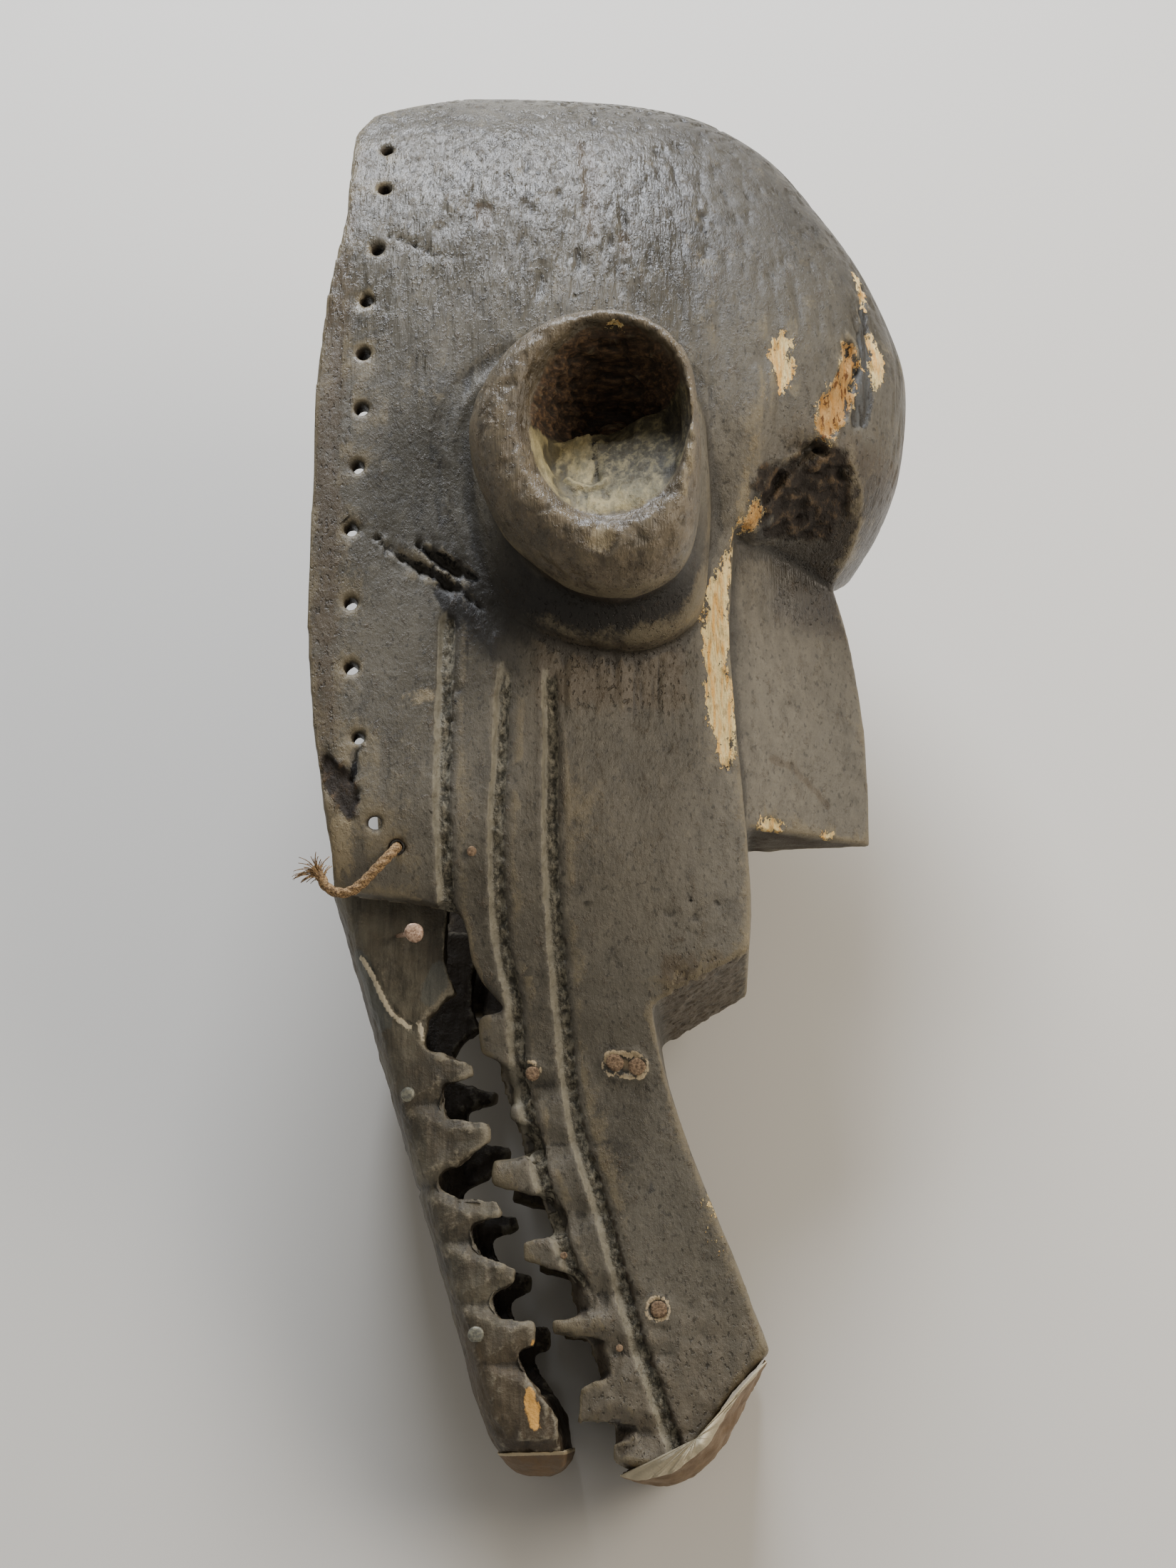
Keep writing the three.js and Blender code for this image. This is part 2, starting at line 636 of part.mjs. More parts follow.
function jaw() {
  const above = plate([...JAW_EDGE, [180, 30], [180, 320]], -100, 100);
  const teeth = [1, -1].map((side) => sumOf(LOWER_TEETH.map((each) => {
    const root = Math.min(jawEdgeX(each.top - 1), jawEdgeX(each.bottom + 1)) - 5;
    return tooth(each, root, jawHalf, side);
  })));
  return jawBlock().subtract(above).subtract(jawTrough()).add(teeth[0]).add(teeth[1]);
}

// Nails: a low head on the surface and a shank that thins towards its end

const SHANK_SIDES = 6;
const SHANK_POINT = 0.6;
const HEAD_CROWN = 0.78;
const BORE_MOUTH = 3;

function nail({ head, into, headRadius, headHeight, shankRadius, length }) {
  const top = head.clone().addScaledVector(into, -headHeight);
  const end = head.clone().addScaledVector(into, length);
  const cap = peg(top, head, headRadius * HEAD_CROWN, headRadius, headRadius < 3 ? 7 : 9);
  const inHead = head.clone().addScaledVector(into, -headHeight / 2);
  return cap.add(peg(inHead, end, shankRadius, shankRadius * SHANK_POINT, SHANK_SIDES));
}

function bore({ head, into, shankRadius, length }) {
  const radius = shankRadius + GAP * 1.3;
  const end = head.clone().addScaledVector(into, length + GAP * 2);
  return peg(head.clone().addScaledVector(into, -BORE_MOUTH), end, radius, radius, SHANK_SIDES);
}

function skinNail(x, y, headRadius, headHeight, shankRadius, length, lift = GAP) {
  const into = skinNormal(x, y).negate();
  return { head: skinPoint(x, y, lift), into, headRadius, headHeight, shankRadius, length };
}

function jawNail(x, y, headRadius) {
  return {
    head: vec(x, y, jawHalf(y) + GAP),
    into: vec(0, JAW_TAPER, -1).normalize(),
    headRadius,
    headHeight: 1.8,
    shankRadius: 1.2,
    length: 8,
  };
}

// Driven into the wood of the mask body's near side
const BODY_NAILS = {
  cheek_nail_small: skinNail(67, 314, 2.3, 0.8, 1, 9),
  muzzle_nail_ring: skinNail(93, 216, 3.3, 1.2, 1.2, 10, 1.2),
  muzzle_nail_pair_a: skinNail(131, 221, 4, 1.2, 1.3, 10, 1.6),
  muzzle_nail_pair_b: skinNail(141, 219, 4, 1.2, 1.3, 10, 1.6),
  muzzle_nail_low: skinNail(150, 110, 3.8, 1.4, 1.3, 10),
  tooth_nail_a: skinNail(107, 134, 1.7, 1, 0.8, 8),
  tooth_nail_b: skinNail(132, 93, 1.7, 1, 0.8, 8, 0.9),
};

// Driven into the near side of the lower jaw
const JAW_NAILS = {
  jaw_nail_upper: jawNail(35, 207, 3.3),
  jaw_nail_lower: jawNail(67, 99, 3.6),
};

// These two fasten the jaw's root. Where the near cheek is broken away its nail stands clear.
const PROUD_HEAD = vec(42, 275, 99);
const PROUD_ENTRY = vec(29.5, 280.5, jawHalf(280.5));
const PROUD_NAIL = {
  head: PROUD_HEAD,
  into: PROUD_ENTRY.clone().sub(PROUD_HEAD).normalize(),
  headRadius: 4.4,
  headHeight: 1.6,
  shankRadius: 1.5,
  length: PROUD_HEAD.distanceTo(PROUD_ENTRY) + 7,
};
const FAR_SPOT = { x: 36, y: 286 };
const FAR_NAIL = {
  head: mirrored(skinPoint(FAR_SPOT.x, FAR_SPOT.y, GAP * 3)),
  into: mirrored(skinNormal(FAR_SPOT.x, FAR_SPOT.y).negate()),
  headRadius: 4.4,
  headHeight: 1.6,
  shankRadius: 1.5,
  length: 26,
};

// Hide remnant, a thin sheet that bulges off the end of the muzzle
const HIDE_LIFT = { least: 1.6, bulge: 6.8, lowEnd: 1.4 };

function hideSheet() {
  const line = new THREE.CatmullRomCurve3(MUZZLE_END.slice().reverse().map(([x, y]) => vec(x, y, 0)));
  const marks = 7;
  const nearEdge = 45.5;
  const farEdge = -30;
  const inner = [];
  const outer = [];
  for (const z of [nearEdge, 38, 27, 12, -8, farEdge]) {
    const bulge = smoothstep(nearEdge - z, 0, 32) * lerp(1, 0.5, smoothstep(-z, 0, -farEdge));
    const innerRow = [];
    const outerRow = [];
    for (let i = 0; i <= marks; i += 1) {
      const along = lerp(0.13, 0.97, i / marks);
      const at = line.getPoint(along);
      const tangent = line.getTangent(along);
      const out = vec(tangent.y, -tangent.x, 0).normalize();
      const swell = HIDE_LIFT.bulge * Math.sin((Math.PI * i) / marks) * bulge;
      const lift = HIDE_LIFT.least + swell + HIDE_LIFT.lowEnd * (1 - i / marks);
      innerRow.push(at.clone().addScaledVector(out, lift).setZ(z));
      outerRow.push(at.clone().addScaledVector(out, lift + HIDE_THICKNESS).setZ(z));
    }
    inner.push(innerRow);
    outer.push(outerRow);
  }
  return sheet(inner, outer);
}

// Hide wrapped over the tip of the lower jaw, grown from the tip's own form
const TIP_HIDE_TOP = 47.5;
const TIP_HIDE_OUTSIDE = { x: 1.105, y: 1.16, z: 1.046 };
const TIP_HIDE_INSIDE = { x: 1.022, y: 1.04, z: 1.0095 };

function jawTipHide(tip) {
  const middle = { x: 87, y: TIP_HIDE_TOP, z: 0 };
  const below = (y) => plate([[0, 0], [160, 0], [160, y + 2], [0, y - 2.5]], -80, 80);
  const outer = grownAbout(tip.intersect(below(TIP_HIDE_TOP)), middle, TIP_HIDE_OUTSIDE);
  const inner = grownAbout(tip.intersect(below(TIP_HIDE_TOP + 2)), middle, TIP_HIDE_INSIDE);
  return outer.subtract(inner).subtract(belowFloor());
}

// Cord remnant: out of the last lashing hole, along the cheek and round in a short hook
const CORD_IN_HOLE = 13;
const CORD_STRAIGHT = 13;
const CORD_END = 6;
const CORD_HOOK = 118;

function cordRemnant() {
  const [holeX, holeY] = LASH_HOLES[LASH_HOLES.length - 1];
  const exit = skinPoint(holeX, holeY);
  const out = skinNormal(holeX, holeY);
  const down = vec(-0.69, -0.72, 0).normalize();
  const across = vec(down.y, -down.x, 0);
  const bend = 4 * CORD_RADIUS + 0.5;
  const points = [CORD_IN_HOLE, CORD_IN_HOLE / 2].map((depth) => exit.clone().addScaledVector(out, -depth));
  for (const turn of [0, 0.25, 0.5, 0.75, 1]) {
    const angle = (turn * Math.PI) / 2;
    points.push(exit.clone()
      .addScaledVector(down, bend * (1 - Math.cos(angle)))
      .addScaledVector(out, bend * Math.sin(angle)));
  }
  const hookStart = points[points.length - 1].clone().addScaledVector(down, CORD_STRAIGHT);
  const hookMiddle = hookStart.clone().addScaledVector(across, bend);
  for (const turn of [0, 0.25, 0.5, 0.75, 1]) {
    const angle = THREE.MathUtils.degToRad(CORD_HOOK) * turn;
    points.push(hookMiddle.clone()
      .addScaledVector(across, -bend * Math.cos(angle))
      .addScaledVector(down, bend * Math.sin(angle)));
  }
  const heading = points[points.length - 1].clone().sub(points[points.length - 2]).normalize();
  points.push(points[points.length - 1].clone().addScaledVector(heading, CORD_END));
  return rod(points, CORD_RADIUS, 8, 15);
}

const UP = vec(FLOOR_NORMAL.x, FLOOR_NORMAL.y, FLOOR_NORMAL.z).normalize();
const RIGHT = vec(1, 0, 0).addScaledVector(UP, -UP.x).normalize();
const AWAY = UP.clone().cross(RIGHT);

// All that would sink below the floor
function belowFloor() {
  const depth = 100;
  const slab = new THREE.BoxGeometry(2000, 2000, depth).translate(0, 0, FLOOR_HEIGHT - depth / 2);
  return toSolid(slab.applyMatrix4(new THREE.Matrix4().makeBasis(RIGHT, AWAY, UP)));
}

function maskBody() {
  const block = sumOf([outerBlock().subtract(faceCut()), nose(), socket(), mirroredSolid(socket())]);
  const cuts = sumOf([
    hollow(), socketPit(), mirroredSolid(socketPit()), rimCut(), muzzleEndCut(),
    mouthCut(NEAR_CHEEK_EDGE, 1), mouthCut(FAR_CHEEK_EDGE, -1),
  ]);
  const bores = sumOf([...Object.values(BODY_NAILS), FAR_NAIL].map(bore));
  const fineCuts = sumOf([
    lashHoles(1, 8), lashHoles(-1, 6), grooves(1, 1.4), grooves(-1, 0.8), bores, belowFloor(),
  ]);
  return block.subtract(cuts).add(upperTeeth(1)).add(upperTeeth(-1)).subtract(fineCuts);
}

const mask = new THREE.Group();

function place(name, solid, colour, roughness, metalness) {
  const material = new THREE.MeshStandardMaterial({ color: colour, roughness, metalness });
  const mesh = new THREE.Mesh(toGeometry(solid), material);
  mesh.name = name;
  mask.add(mesh);
}

const jawUnbored = jaw();
const jawBores = sumOf([...Object.values(JAW_NAILS), PROUD_NAIL, FAR_NAIL].map(bore));

place('mask_body', maskBody(), WOOD_DARK, 0.55, 0);
place('lower_jaw', jawUnbored.subtract(jawBores), WOOD_JAW, 0.7, 0);
for (const [name, size] of Object.entries(BODY_NAILS)) place(name, nail(size), RUST, 0.8, 0.3);
for (const [name, size] of Object.entries(JAW_NAILS)) place(name, nail(size), GREY_METAL, 0.6, 0.5);
place('cheek_nail_proud', nail(PROUD_NAIL), COPPER_TAN, 0.6, 0.5);
place('cheek_nail_far', nail(FAR_NAIL), RUST, 0.8, 0.3);
place('muzzle_hide', hideSheet(), HIDE, 0.8, 0);
place('jaw_tip_hide', jawTipHide(jawUnbored), HIDE, 0.8, 0);
place('cord_remnant', cordRemnant(), FIBRE, 0.9, 0);

// The mask is turned onto the floor and centred over the origin.
const lying = new THREE.Group();
lying.add(mask);
mask.quaternion.setFromRotationMatrix(new THREE.Matrix4().makeBasis(RIGHT, AWAY, UP)).invert();
const box = new THREE.Box3().setFromObject(lying, true);
const middle = box.getCenter(new THREE.Vector3());
mask.position.set(-middle.x, -middle.y, -box.min.z);
lying.updateMatrixWorld(true);

export default lying;
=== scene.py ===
import math
from itertools import product

import bpy
import numpy as np
from bpy.props import FloatProperty, FloatVectorProperty, PointerProperty
from mathutils import Matrix, Vector


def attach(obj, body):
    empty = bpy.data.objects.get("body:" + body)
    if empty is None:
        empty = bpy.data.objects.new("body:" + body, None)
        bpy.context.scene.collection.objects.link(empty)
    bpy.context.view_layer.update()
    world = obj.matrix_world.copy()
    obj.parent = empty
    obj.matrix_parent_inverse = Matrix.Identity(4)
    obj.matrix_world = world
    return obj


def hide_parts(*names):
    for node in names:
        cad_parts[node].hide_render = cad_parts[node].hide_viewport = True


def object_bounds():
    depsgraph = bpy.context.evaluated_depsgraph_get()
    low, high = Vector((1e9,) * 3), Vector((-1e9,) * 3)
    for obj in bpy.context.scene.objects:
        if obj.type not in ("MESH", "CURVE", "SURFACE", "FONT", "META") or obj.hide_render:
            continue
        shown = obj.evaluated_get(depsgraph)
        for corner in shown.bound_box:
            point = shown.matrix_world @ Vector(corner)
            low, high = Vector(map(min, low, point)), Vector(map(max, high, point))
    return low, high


# A carved wooden mask with a long toothed muzzle, lying on its side.
# The carving is worked out in the mask's own frame, in millimetres: x runs to the front of the face,
# y to the crown and z to the near side. It is then turned into the row's frame, in metres.

bl_info = {
    "name": "Carved mask",
    "version": (1, 0, 0),
    "blender": (4, 5, 0),
    "location": "3D View > Sidebar > Mask",
    "description": "A carved wooden mask with side sockets and a long toothed muzzle",
    "category": "Object",
}

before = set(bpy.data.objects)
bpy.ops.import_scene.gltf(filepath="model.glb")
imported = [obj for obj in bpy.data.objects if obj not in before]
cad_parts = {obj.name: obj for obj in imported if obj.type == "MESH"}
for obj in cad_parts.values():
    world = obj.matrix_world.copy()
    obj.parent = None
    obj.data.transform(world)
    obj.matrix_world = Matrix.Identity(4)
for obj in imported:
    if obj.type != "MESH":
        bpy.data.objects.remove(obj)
CAD_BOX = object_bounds()


# How the mask lies: the floor's upward direction in the mask's frame, and the shift to the row's frame
FLOOR_NORMAL = np.array([0.03, 0.2796, 0.9597])
ROW_SHIFT = np.array([-129.0139, -371.6262, 24.2000])


def unit(v):
    v = np.asarray(v, float)
    return v / np.linalg.norm(v)


def units(rows):
    """Each row of an array as a direction of length 1."""
    return rows / np.linalg.norm(rows, axis=1, keepdims=True)


def row_turn():
    up = unit(FLOOR_NORMAL)
    right = unit(np.array([1.0, 0.0, 0.0]) - up * up[0])
    return np.stack([right, np.cross(up, right), up])


ROW_TURN = row_turn()


def to_row(points):
    """Points in the mask's frame, in millimetres, as points in the row's frame, in metres."""
    return (np.asarray(points, float) @ ROW_TURN.T + ROW_SHIFT) / 1000


# Head
CROWN = 748.0
BROW_LOW = 470.0
DOME_POWER = 2.3
HEAD_HALF_WIDTH = 105.0
ARCH_SPRING = 480.0
ARCH_POWER = 2.4
HEAD_TAPER_TOP = 345.0
WALL = 13.0
DOME_WALL = 22.0
LEAST_WALL = 4.0
FOREHEAD = [
    (470, 239), (485, 253), (504, 266), (528, 276), (560, 281), (584, 281), (613, 273), (644, 259), (671, 242),
    (703, 220), (720, 202), (733, 180), (742, 140), (747, 90), (748, 45),
]

# Rim, the open back
RIM = -10.5
RIM_LINE = [
    (90, 775), (52, 738), (26, 725), (8, 716), (0, 700), (0, 645), (-8, 592), (RIM, 545), (RIM, 420), (-6, 371),
    (3, 312),
]

# Face
FACE = [(272, 193.5), (300, 195), (352, 192), (387, 189), (435, 187), (474, 190)]
FACE_REACH = 193.0
FACE_WALL = 16.0
CHEEK_FRONT_HALF_WIDTH = 62.0
CHEEK_BOW = 1.6
CHIN_TOP = 272.0
CHIN_ROOT = (148.5, 246.5)
NOSE_LOW = 335.0
NOSE_HIGH = 505.0
NOSE_HALF = (46.0, 52.0)
NOSE_ROOT = 178.0
NOSE_FAR_RISE = 9.0
NOSE_RIDGE = [(335, 255), (368, 255), (397, 253.5), (424, 251), (451, 246), (505, 231)]
NOSE_RIDGE_HALF = 2.2

# Muzzle
MUZZLE_TOP = 215.0
MUZZLE_TIP = 40.0
MUZZLE_TIP_HALF_WIDTH = 43.5
MUZZLE_TAPER = 0.106
MUZZLE_EDGE_INSET = 7.0
MUZZLE_FRONT = [(0, 236), (95, 198.5), (126, 187), (158, 174), (196, 160.5), (227, 152), (246.5, 148.5)]
MUZZLE_WALL = 13.0
MUZZLE_END = [(199, 91), (184, 75), (168, 53), (154, 42.5), (138, 40), (122, 42)]
UPPER_GUM = (88.0, 210.0, 0.331)
GUM_BEVEL = 10.0

# Lower jaw
JAW_ROOT = 306.0
JAW_TIP = 37.5
JAW_BOTTOM = (-4.0, 295.0, 0.301)
JAW_FLOOR = 12.0
JAW_WALL = 11.0
JAW_TIP_HALF_WIDTH = 42.0
JAW_TAPER = 0.091
# Heights of the jaw's sections, and how full each one is. The tip is rounded off.
JAW_SECTIONS = [
    (JAW_ROOT, 1), (220, 1), (140, 1), (75, 1), (62, 0.975), (54, 0.92), (48, 0.83), (42.5, 0.66), (39.2, 0.45),
    (JAW_TIP, 0.22),
]

# Side sockets
SOCKET_LIP = [
    (127, 556), (150, 551), (168, 536), (174, 506), (174, 464), (166, 436), (145, 423), (116, 427), (89, 448),
    (73, 478), (69, 506), (80, 533), (101, 551),
]
SOCKET_FOOT = [
    (127, 558), (154, 553), (173, 538), (178, 506), (177, 461), (171, 431), (148, 415), (112, 416), (79, 430),
    (61, 470), (56, 515), (70, 543), (97, 557),
]
SOCKET_RIM = 160.0
SOCKET_ROOT = 70.0
PIT_EDGE = (134.0, 500.0, 36.0, 46.0)
PIT_FLOOR = (134.0, 511.0, 14.0, 14.0)
PIT_DEPTH_Z = 98.0
# The shelf that fills the lower part of a pit: a point of its edge and the edge's slope, how high it lies
# at its edge and further down, and how far down that is
SHELF_EDGE = (129.0, 508.0, 0.28)
SHELF_Z = (126.0, 154.0)
SHELF_FALL = 52.0
SHELF_LIP = 6.0

LASH_RADIUS = 3.6
LASH_HOLES = [
    (17, 686), (18, 658), (16, 621), (12, 591), (12, 561), (12, 531), (11, 501), (9, 469), (10, 432),
    (11, 400), (15, 366), (23, 326), (33, 315),
]
GROOVES = [
    [(55, 429), (54, 385), (54, 330), (55, 288)],
    [(82, 409), (80, 365), (78, 304), (80, 272), (85, 246), (86, 220), (92, 188), (99, 159), (110, 128)],
    [(102, 405), (103, 376), (103, 325), (104, 285), (107, 240), (112, 195), (126, 148), (139, 100), (157, 48)],
]
NEAR_CHEEK_EDGE = [(-60, 296), (8, 296), (36, 293), (60, 288), (63, 279), (65, 267), (70, 258), (80, 247)]
FAR_CHEEK_EDGE = [(-60, 284), (4, 281), (32, 268), (58, 262), (71, 250), (80, 238)]

TOOTH_THICKNESS = 11.0
# Each tooth: top and bottom of the root, how far the tip reaches, top and bottom of the tip
UPPER_TEETH = [
    (248, 214, 68, 241, 226), (206, 186, 82, 202, 196), (181, 157, 74, 177, 166), (148, 122, 88, 140, 132),
    (111, 94, 101, 105, 99), (87, 56, 114, 76, 60), (55.5, 41, 129, 51, 43),
]
LOWER_TEETH = [
    (229, 206, 65, 221, 216), (199, 166, 73, 195, 186), (163, 141, 78, 160, 152), (139, 108, 85, 129, 121),
    (108, 86, 94, 106, 93), (85, 52, 104, 62, 53),
]
JAW_EDGE = [
    (54, 320), (52, 265), (57, 254), (51, 250), (43, 242), (42, 230), (44, 227), (53, 207), (54, 198),
    (51, 166), (58, 162), (69, 139), (78, 107.5), (90, 85.5), (104, 54), (105, 47), (104, 43), (101, 39.5),
    (95, 37), (90, 30),
]


# Small helpers of form

def lerp(a, b, t):
    return a + (b - a) * t


def smoothstep(x, low, high):
    t = np.clip((np.asarray(x, float) - low) / (high - low), 0, 1)
    return t * t * (3 - 2 * t)


def window(x, rise, full, fall, end):
    """1 from full to fall, going smoothly to 0 at rise and at end."""
    return smoothstep(x, rise, full) * smoothstep(end - np.asarray(x, float), 0, end - fall)


def through(marks, y):
    """The value at y on a smooth line through (y, value) marks, lowest first."""
    ys, xs = np.array(marks, float).T
    y = np.asarray(y, float)
    last = len(ys) - 1
    i = np.clip(np.searchsorted(ys, y), 1, last)
    before, after = np.maximum(np.arange(last + 1) - 1, 0), np.minimum(np.arange(last + 1) + 1, last)
    slopes = (xs[after] - xs[before]) / (ys[after] - ys[before])
    span = ys[i] - ys[i - 1]
    t = np.clip((y - ys[i - 1]) / span, 0, 1)
    bend = t * t * (3 - 2 * t)
    leave = t * (1 - t) ** 2 * span * slopes[i - 1]
    arrive = t * t * (t - 1) * span * slopes[i]
    return xs[i - 1] + (xs[i] - xs[i - 1]) * bend + leave + arrive


def half_width(y):
    y = np.asarray(y, float)
    rise = np.clip((y - ARCH_SPRING) / (CROWN - ARCH_SPRING), 0, 1)
    arch = HEAD_HALF_WIDTH * (1 - rise ** ARCH_POWER) ** (1 / ARCH_POWER)
    muzzle = MUZZLE_TIP_HALF_WIDTH + MUZZLE_TAPER * (np.minimum(y, MUZZLE_TOP) - MUZZLE_TIP)
    low = muzzle + (HEAD_HALF_WIDTH - muzzle) * smoothstep(y, MUZZLE_TOP - 10, HEAD_TAPER_TOP)
    return np.where(y > ARCH_SPRING, arch, low)


def front_reach(y):
    y = np.asarray(y, float)
    low = np.where(y > CHIN_ROOT[1], FOREHEAD[0][1], through(MUZZLE_FRONT, y))
    return np.where(y >= BROW_LOW, through(FOREHEAD, y), low)


def bowed_side(x, y):
    x, y = np.asarray(x, float), np.asarray(y, float)
    back = half_width(y)
    on_muzzle = y < CHIN_ROOT[1]
    front = np.where(on_muzzle, back - MUZZLE_EDGE_INSET, np.minimum(CHEEK_FRONT_HALF_WIDTH, back - 8))
    reach = np.where(on_muzzle, through(MUZZLE_FRONT, y), FACE_REACH)
    return np.where(x <= 0, back, back - (back - front) * np.maximum(x / reach, 0) ** CHEEK_BOW)


# How much of a section's half outline its flat front and its rounded part take, and how far it runs past the rim
FRONT_SHARE = 0.25
ROUND_SHARE = 0.8
BACK_OVERRUN = -25.0


def half_section(y, side, front, count):
    """Half the outline of a section at height y, from the middle of the front to behind the rim."""
    t = np.linspace(0, 1, count)
    reach = front_reach(y) - front
    flat_x = np.where(t < FRONT_SHARE, reach, lerp(reach, BACK_OVERRUN, (t - FRONT_SHARE) / (1 - FRONT_SHARE)))
    at_edge = bowed_side(reach, y) - side
    flat_z = np.where(t < FRONT_SHARE, at_edge * t / FRONT_SHARE, bowed_side(flat_x, y) - side)
    half = half_width(y) - side
    shoulder = min(30.0, float(reach) * 0.3)
    turn = np.clip(t / ROUND_SHARE, 0, 1) * (math.pi / 2)
    round_x = shoulder + (reach - shoulder) * np.clip(np.cos(turn), 0, 1) ** (2 / DOME_POWER)
    round_x = np.where(t > ROUND_SHARE, lerp(shoulder, BACK_OVERRUN, (t - ROUND_SHARE) / (1 - ROUND_SHARE)), round_x)
    round_z = half * np.sin(turn) ** (2 / DOME_POWER)
    roundness = smoothstep(y, BROW_LOW - 15, BROW_LOW + 70)
    return lerp(flat_x, round_x, roundness), lerp(flat_z, round_z, roundness)


def section(y, side, front, count):
    x, z = half_section(y, side, front, count)
    near = np.stack([x, np.full(count, float(y)), z], 1)
    far = near[1:][::-1] * [1, 1, -1]
    return np.concatenate([near, far])


def skin_at(x, y):
    """Where the near side's skin lies, as z, at points (x, y)."""
    x, y = np.atleast_1d(np.asarray(x, float)), np.atleast_1d(np.asarray(y, float))
    found = []
    for px, py in zip(x, y):
        sx, sz = half_section(py, 0, 0, 90)
        i = max(1, int(np.argmax(sx <= px)))
        found.append(lerp(sz[i - 1], sz[i], (sx[i - 1] - px) / (sx[i - 1] - sx[i])))
    return np.array(found)


def skin_points(route, lift=0.0):
    """Points of the near side's skin on a route of (x, y), lifted off it, and its outward directions there."""
    x, y = np.array(route, float).T
    z = skin_at(x, y)
    step = 3.0
    slope_x = (skin_at(x + step, y) - skin_at(x - step, y)) / (2 * step)
    slope_y = (skin_at(x, y + step) - skin_at(x, y - step)) / (2 * step)
    normal = units(np.stack([-slope_x, -slope_y, np.ones_like(z)], 1))
    return np.stack([x, y, z], 1) + normal * lift, normal


def upper_gum(y):
    return UPPER_GUM[0] + (UPPER_GUM[1] - np.asarray(y, float)) * UPPER_GUM[2]


def wall_half(y):
    return bowed_side(upper_gum(np.minimum(y, UPPER_GUM[1])), y)


def jaw_half(y):
    return JAW_TIP_HALF_WIDTH + JAW_TAPER * (np.asarray(y, float) - JAW_TIP)


def jaw_bottom(y):
    return JAW_BOTTOM[0] + JAW_BOTTOM[2] * (JAW_BOTTOM[1] - y)


def curve_points(marks, count, closed=False):
    """Points on a centripetal curve through the marks, any number of dimensions."""
    marks = np.array(marks, float)
    n = len(marks)
    spans = n if closed else n - 1
    t = np.arange(count) / count * spans if closed else np.linspace(0, spans, count)
    i = np.minimum(t.astype(int), spans - 1)
    w = (t - i).reshape(-1, 1)
    if closed:
        p0, p1, p2, p3 = (marks[(i + k) % n] for k in (-1, 0, 1, 2))
    else:
        wide = np.concatenate([2 * marks[:1] - marks[1:2], marks, 2 * marks[-1:] - marks[-2:-1]])
        p0, p1, p2, p3 = (wide[i + k] for k in (0, 1, 2, 3))
    d0, d1, d2 = (
        np.maximum(np.linalg.norm(b - a, axis=1, keepdims=True), 1e-6) ** 0.5
        for a, b in ((p0, p1), (p1, p2), (p2, p3))
    )
    leave = ((p1 - p0) / d0 - (p2 - p0) / (d0 + d1) + (p2 - p1) / d1) * d1
    arrive = ((p2 - p1) / d1 - (p3 - p1) / (d1 + d2) + (p3 - p2) / d2) * d1
    c2 = 3 * (p2 - p1) - 2 * leave - arrive
    c3 = 2 * (p1 - p2) + leave + arrive
    return p1 + leave * w + c2 * w ** 2 + c3 * w ** 3


def smooth_rings(rings, per_span):
    """More rings between the given ones, on a smooth curve through each ring's matching points."""
    rings = np.array(rings, float)
    count = (len(rings) - 1) * per_span + 1
    flat = rings.transpose(1, 0, 2)
    return np.stack([curve_points(line, count) for line in flat], 1)


# Noise, the same on every run

def _hash(ix, iy, iz, seed):
    h = (ix * 73856093) ^ (iy * 19349663) ^ (iz * 83492791) ^ (seed * 2654435761)
    h &= 0xFFFFFFFF
    h = ((h ^ (h >> 15)) * 2246822519) & 0xFFFFFFFF
    h = ((h ^ (h >> 13)) * 3266489917) & 0xFFFFFFFF
    return ((h ^ (h >> 16)) & 0xFFFFFF) / 0xFFFFFF


def noise(points, seed=0):
    """Smooth noise from -1 to 1, with a lattice of one unit."""
    base = np.floor(points).astype(np.int64)
    f = points - base
    u = f * f * f * (f * (f * 6 - 15) + 10)
    total = np.zeros(len(points))
    for corner in product((0, 1), repeat=3):
        wx, wy, wz = (u[:, k] if far else 1 - u[:, k] for k, far in enumerate(corner))
        total += wx * wy * wz * _hash(*(base[:, k] + corner[k] for k in range(3)), seed)
    return total * 2 - 1


def fractal(points, scale, octaves=3, seed=0):
    """Layered noise. Scale is a feature's size along each axis, in millimetres."""
    q = points / np.asarray(scale, float)
    total, size, reach = 0.0, 1.0, 0.0
    for k in range(octaves):
        total = total + size * noise(q + 17.3 * k, seed + k)
        reach += size
        size *= 0.5
        q = q * 2.03
    return total / reach * 1.6


def scoops(points, scale, seed):
    """Shallow hollows side by side, such as an adze leaves, about as wide as scale along each axis."""
    q = points / np.asarray(scale, float)
    base = np.floor(q).astype(np.int64)
    near = np.full(len(q), 9.0)
    for step in product((-1, 0, 1), repeat=3):
        cell = base + step
        spot = np.stack([_hash(*cell.T, seed + k) for k in (1, 2, 3)], 1)
        near = np.minimum(near, np.linalg.norm(cell + spot - q, axis=1))
    return near ** 2 - 0.3


# Solids as arrays of points and triangles

def as_outward(points, faces):
    a, b, c = (points[faces[:, k]] for k in range(3))
    if np.einsum("ij,ij->i", a, np.cross(b, c)).sum() < 0:
        faces = faces[:, ::-1]
    return points, faces


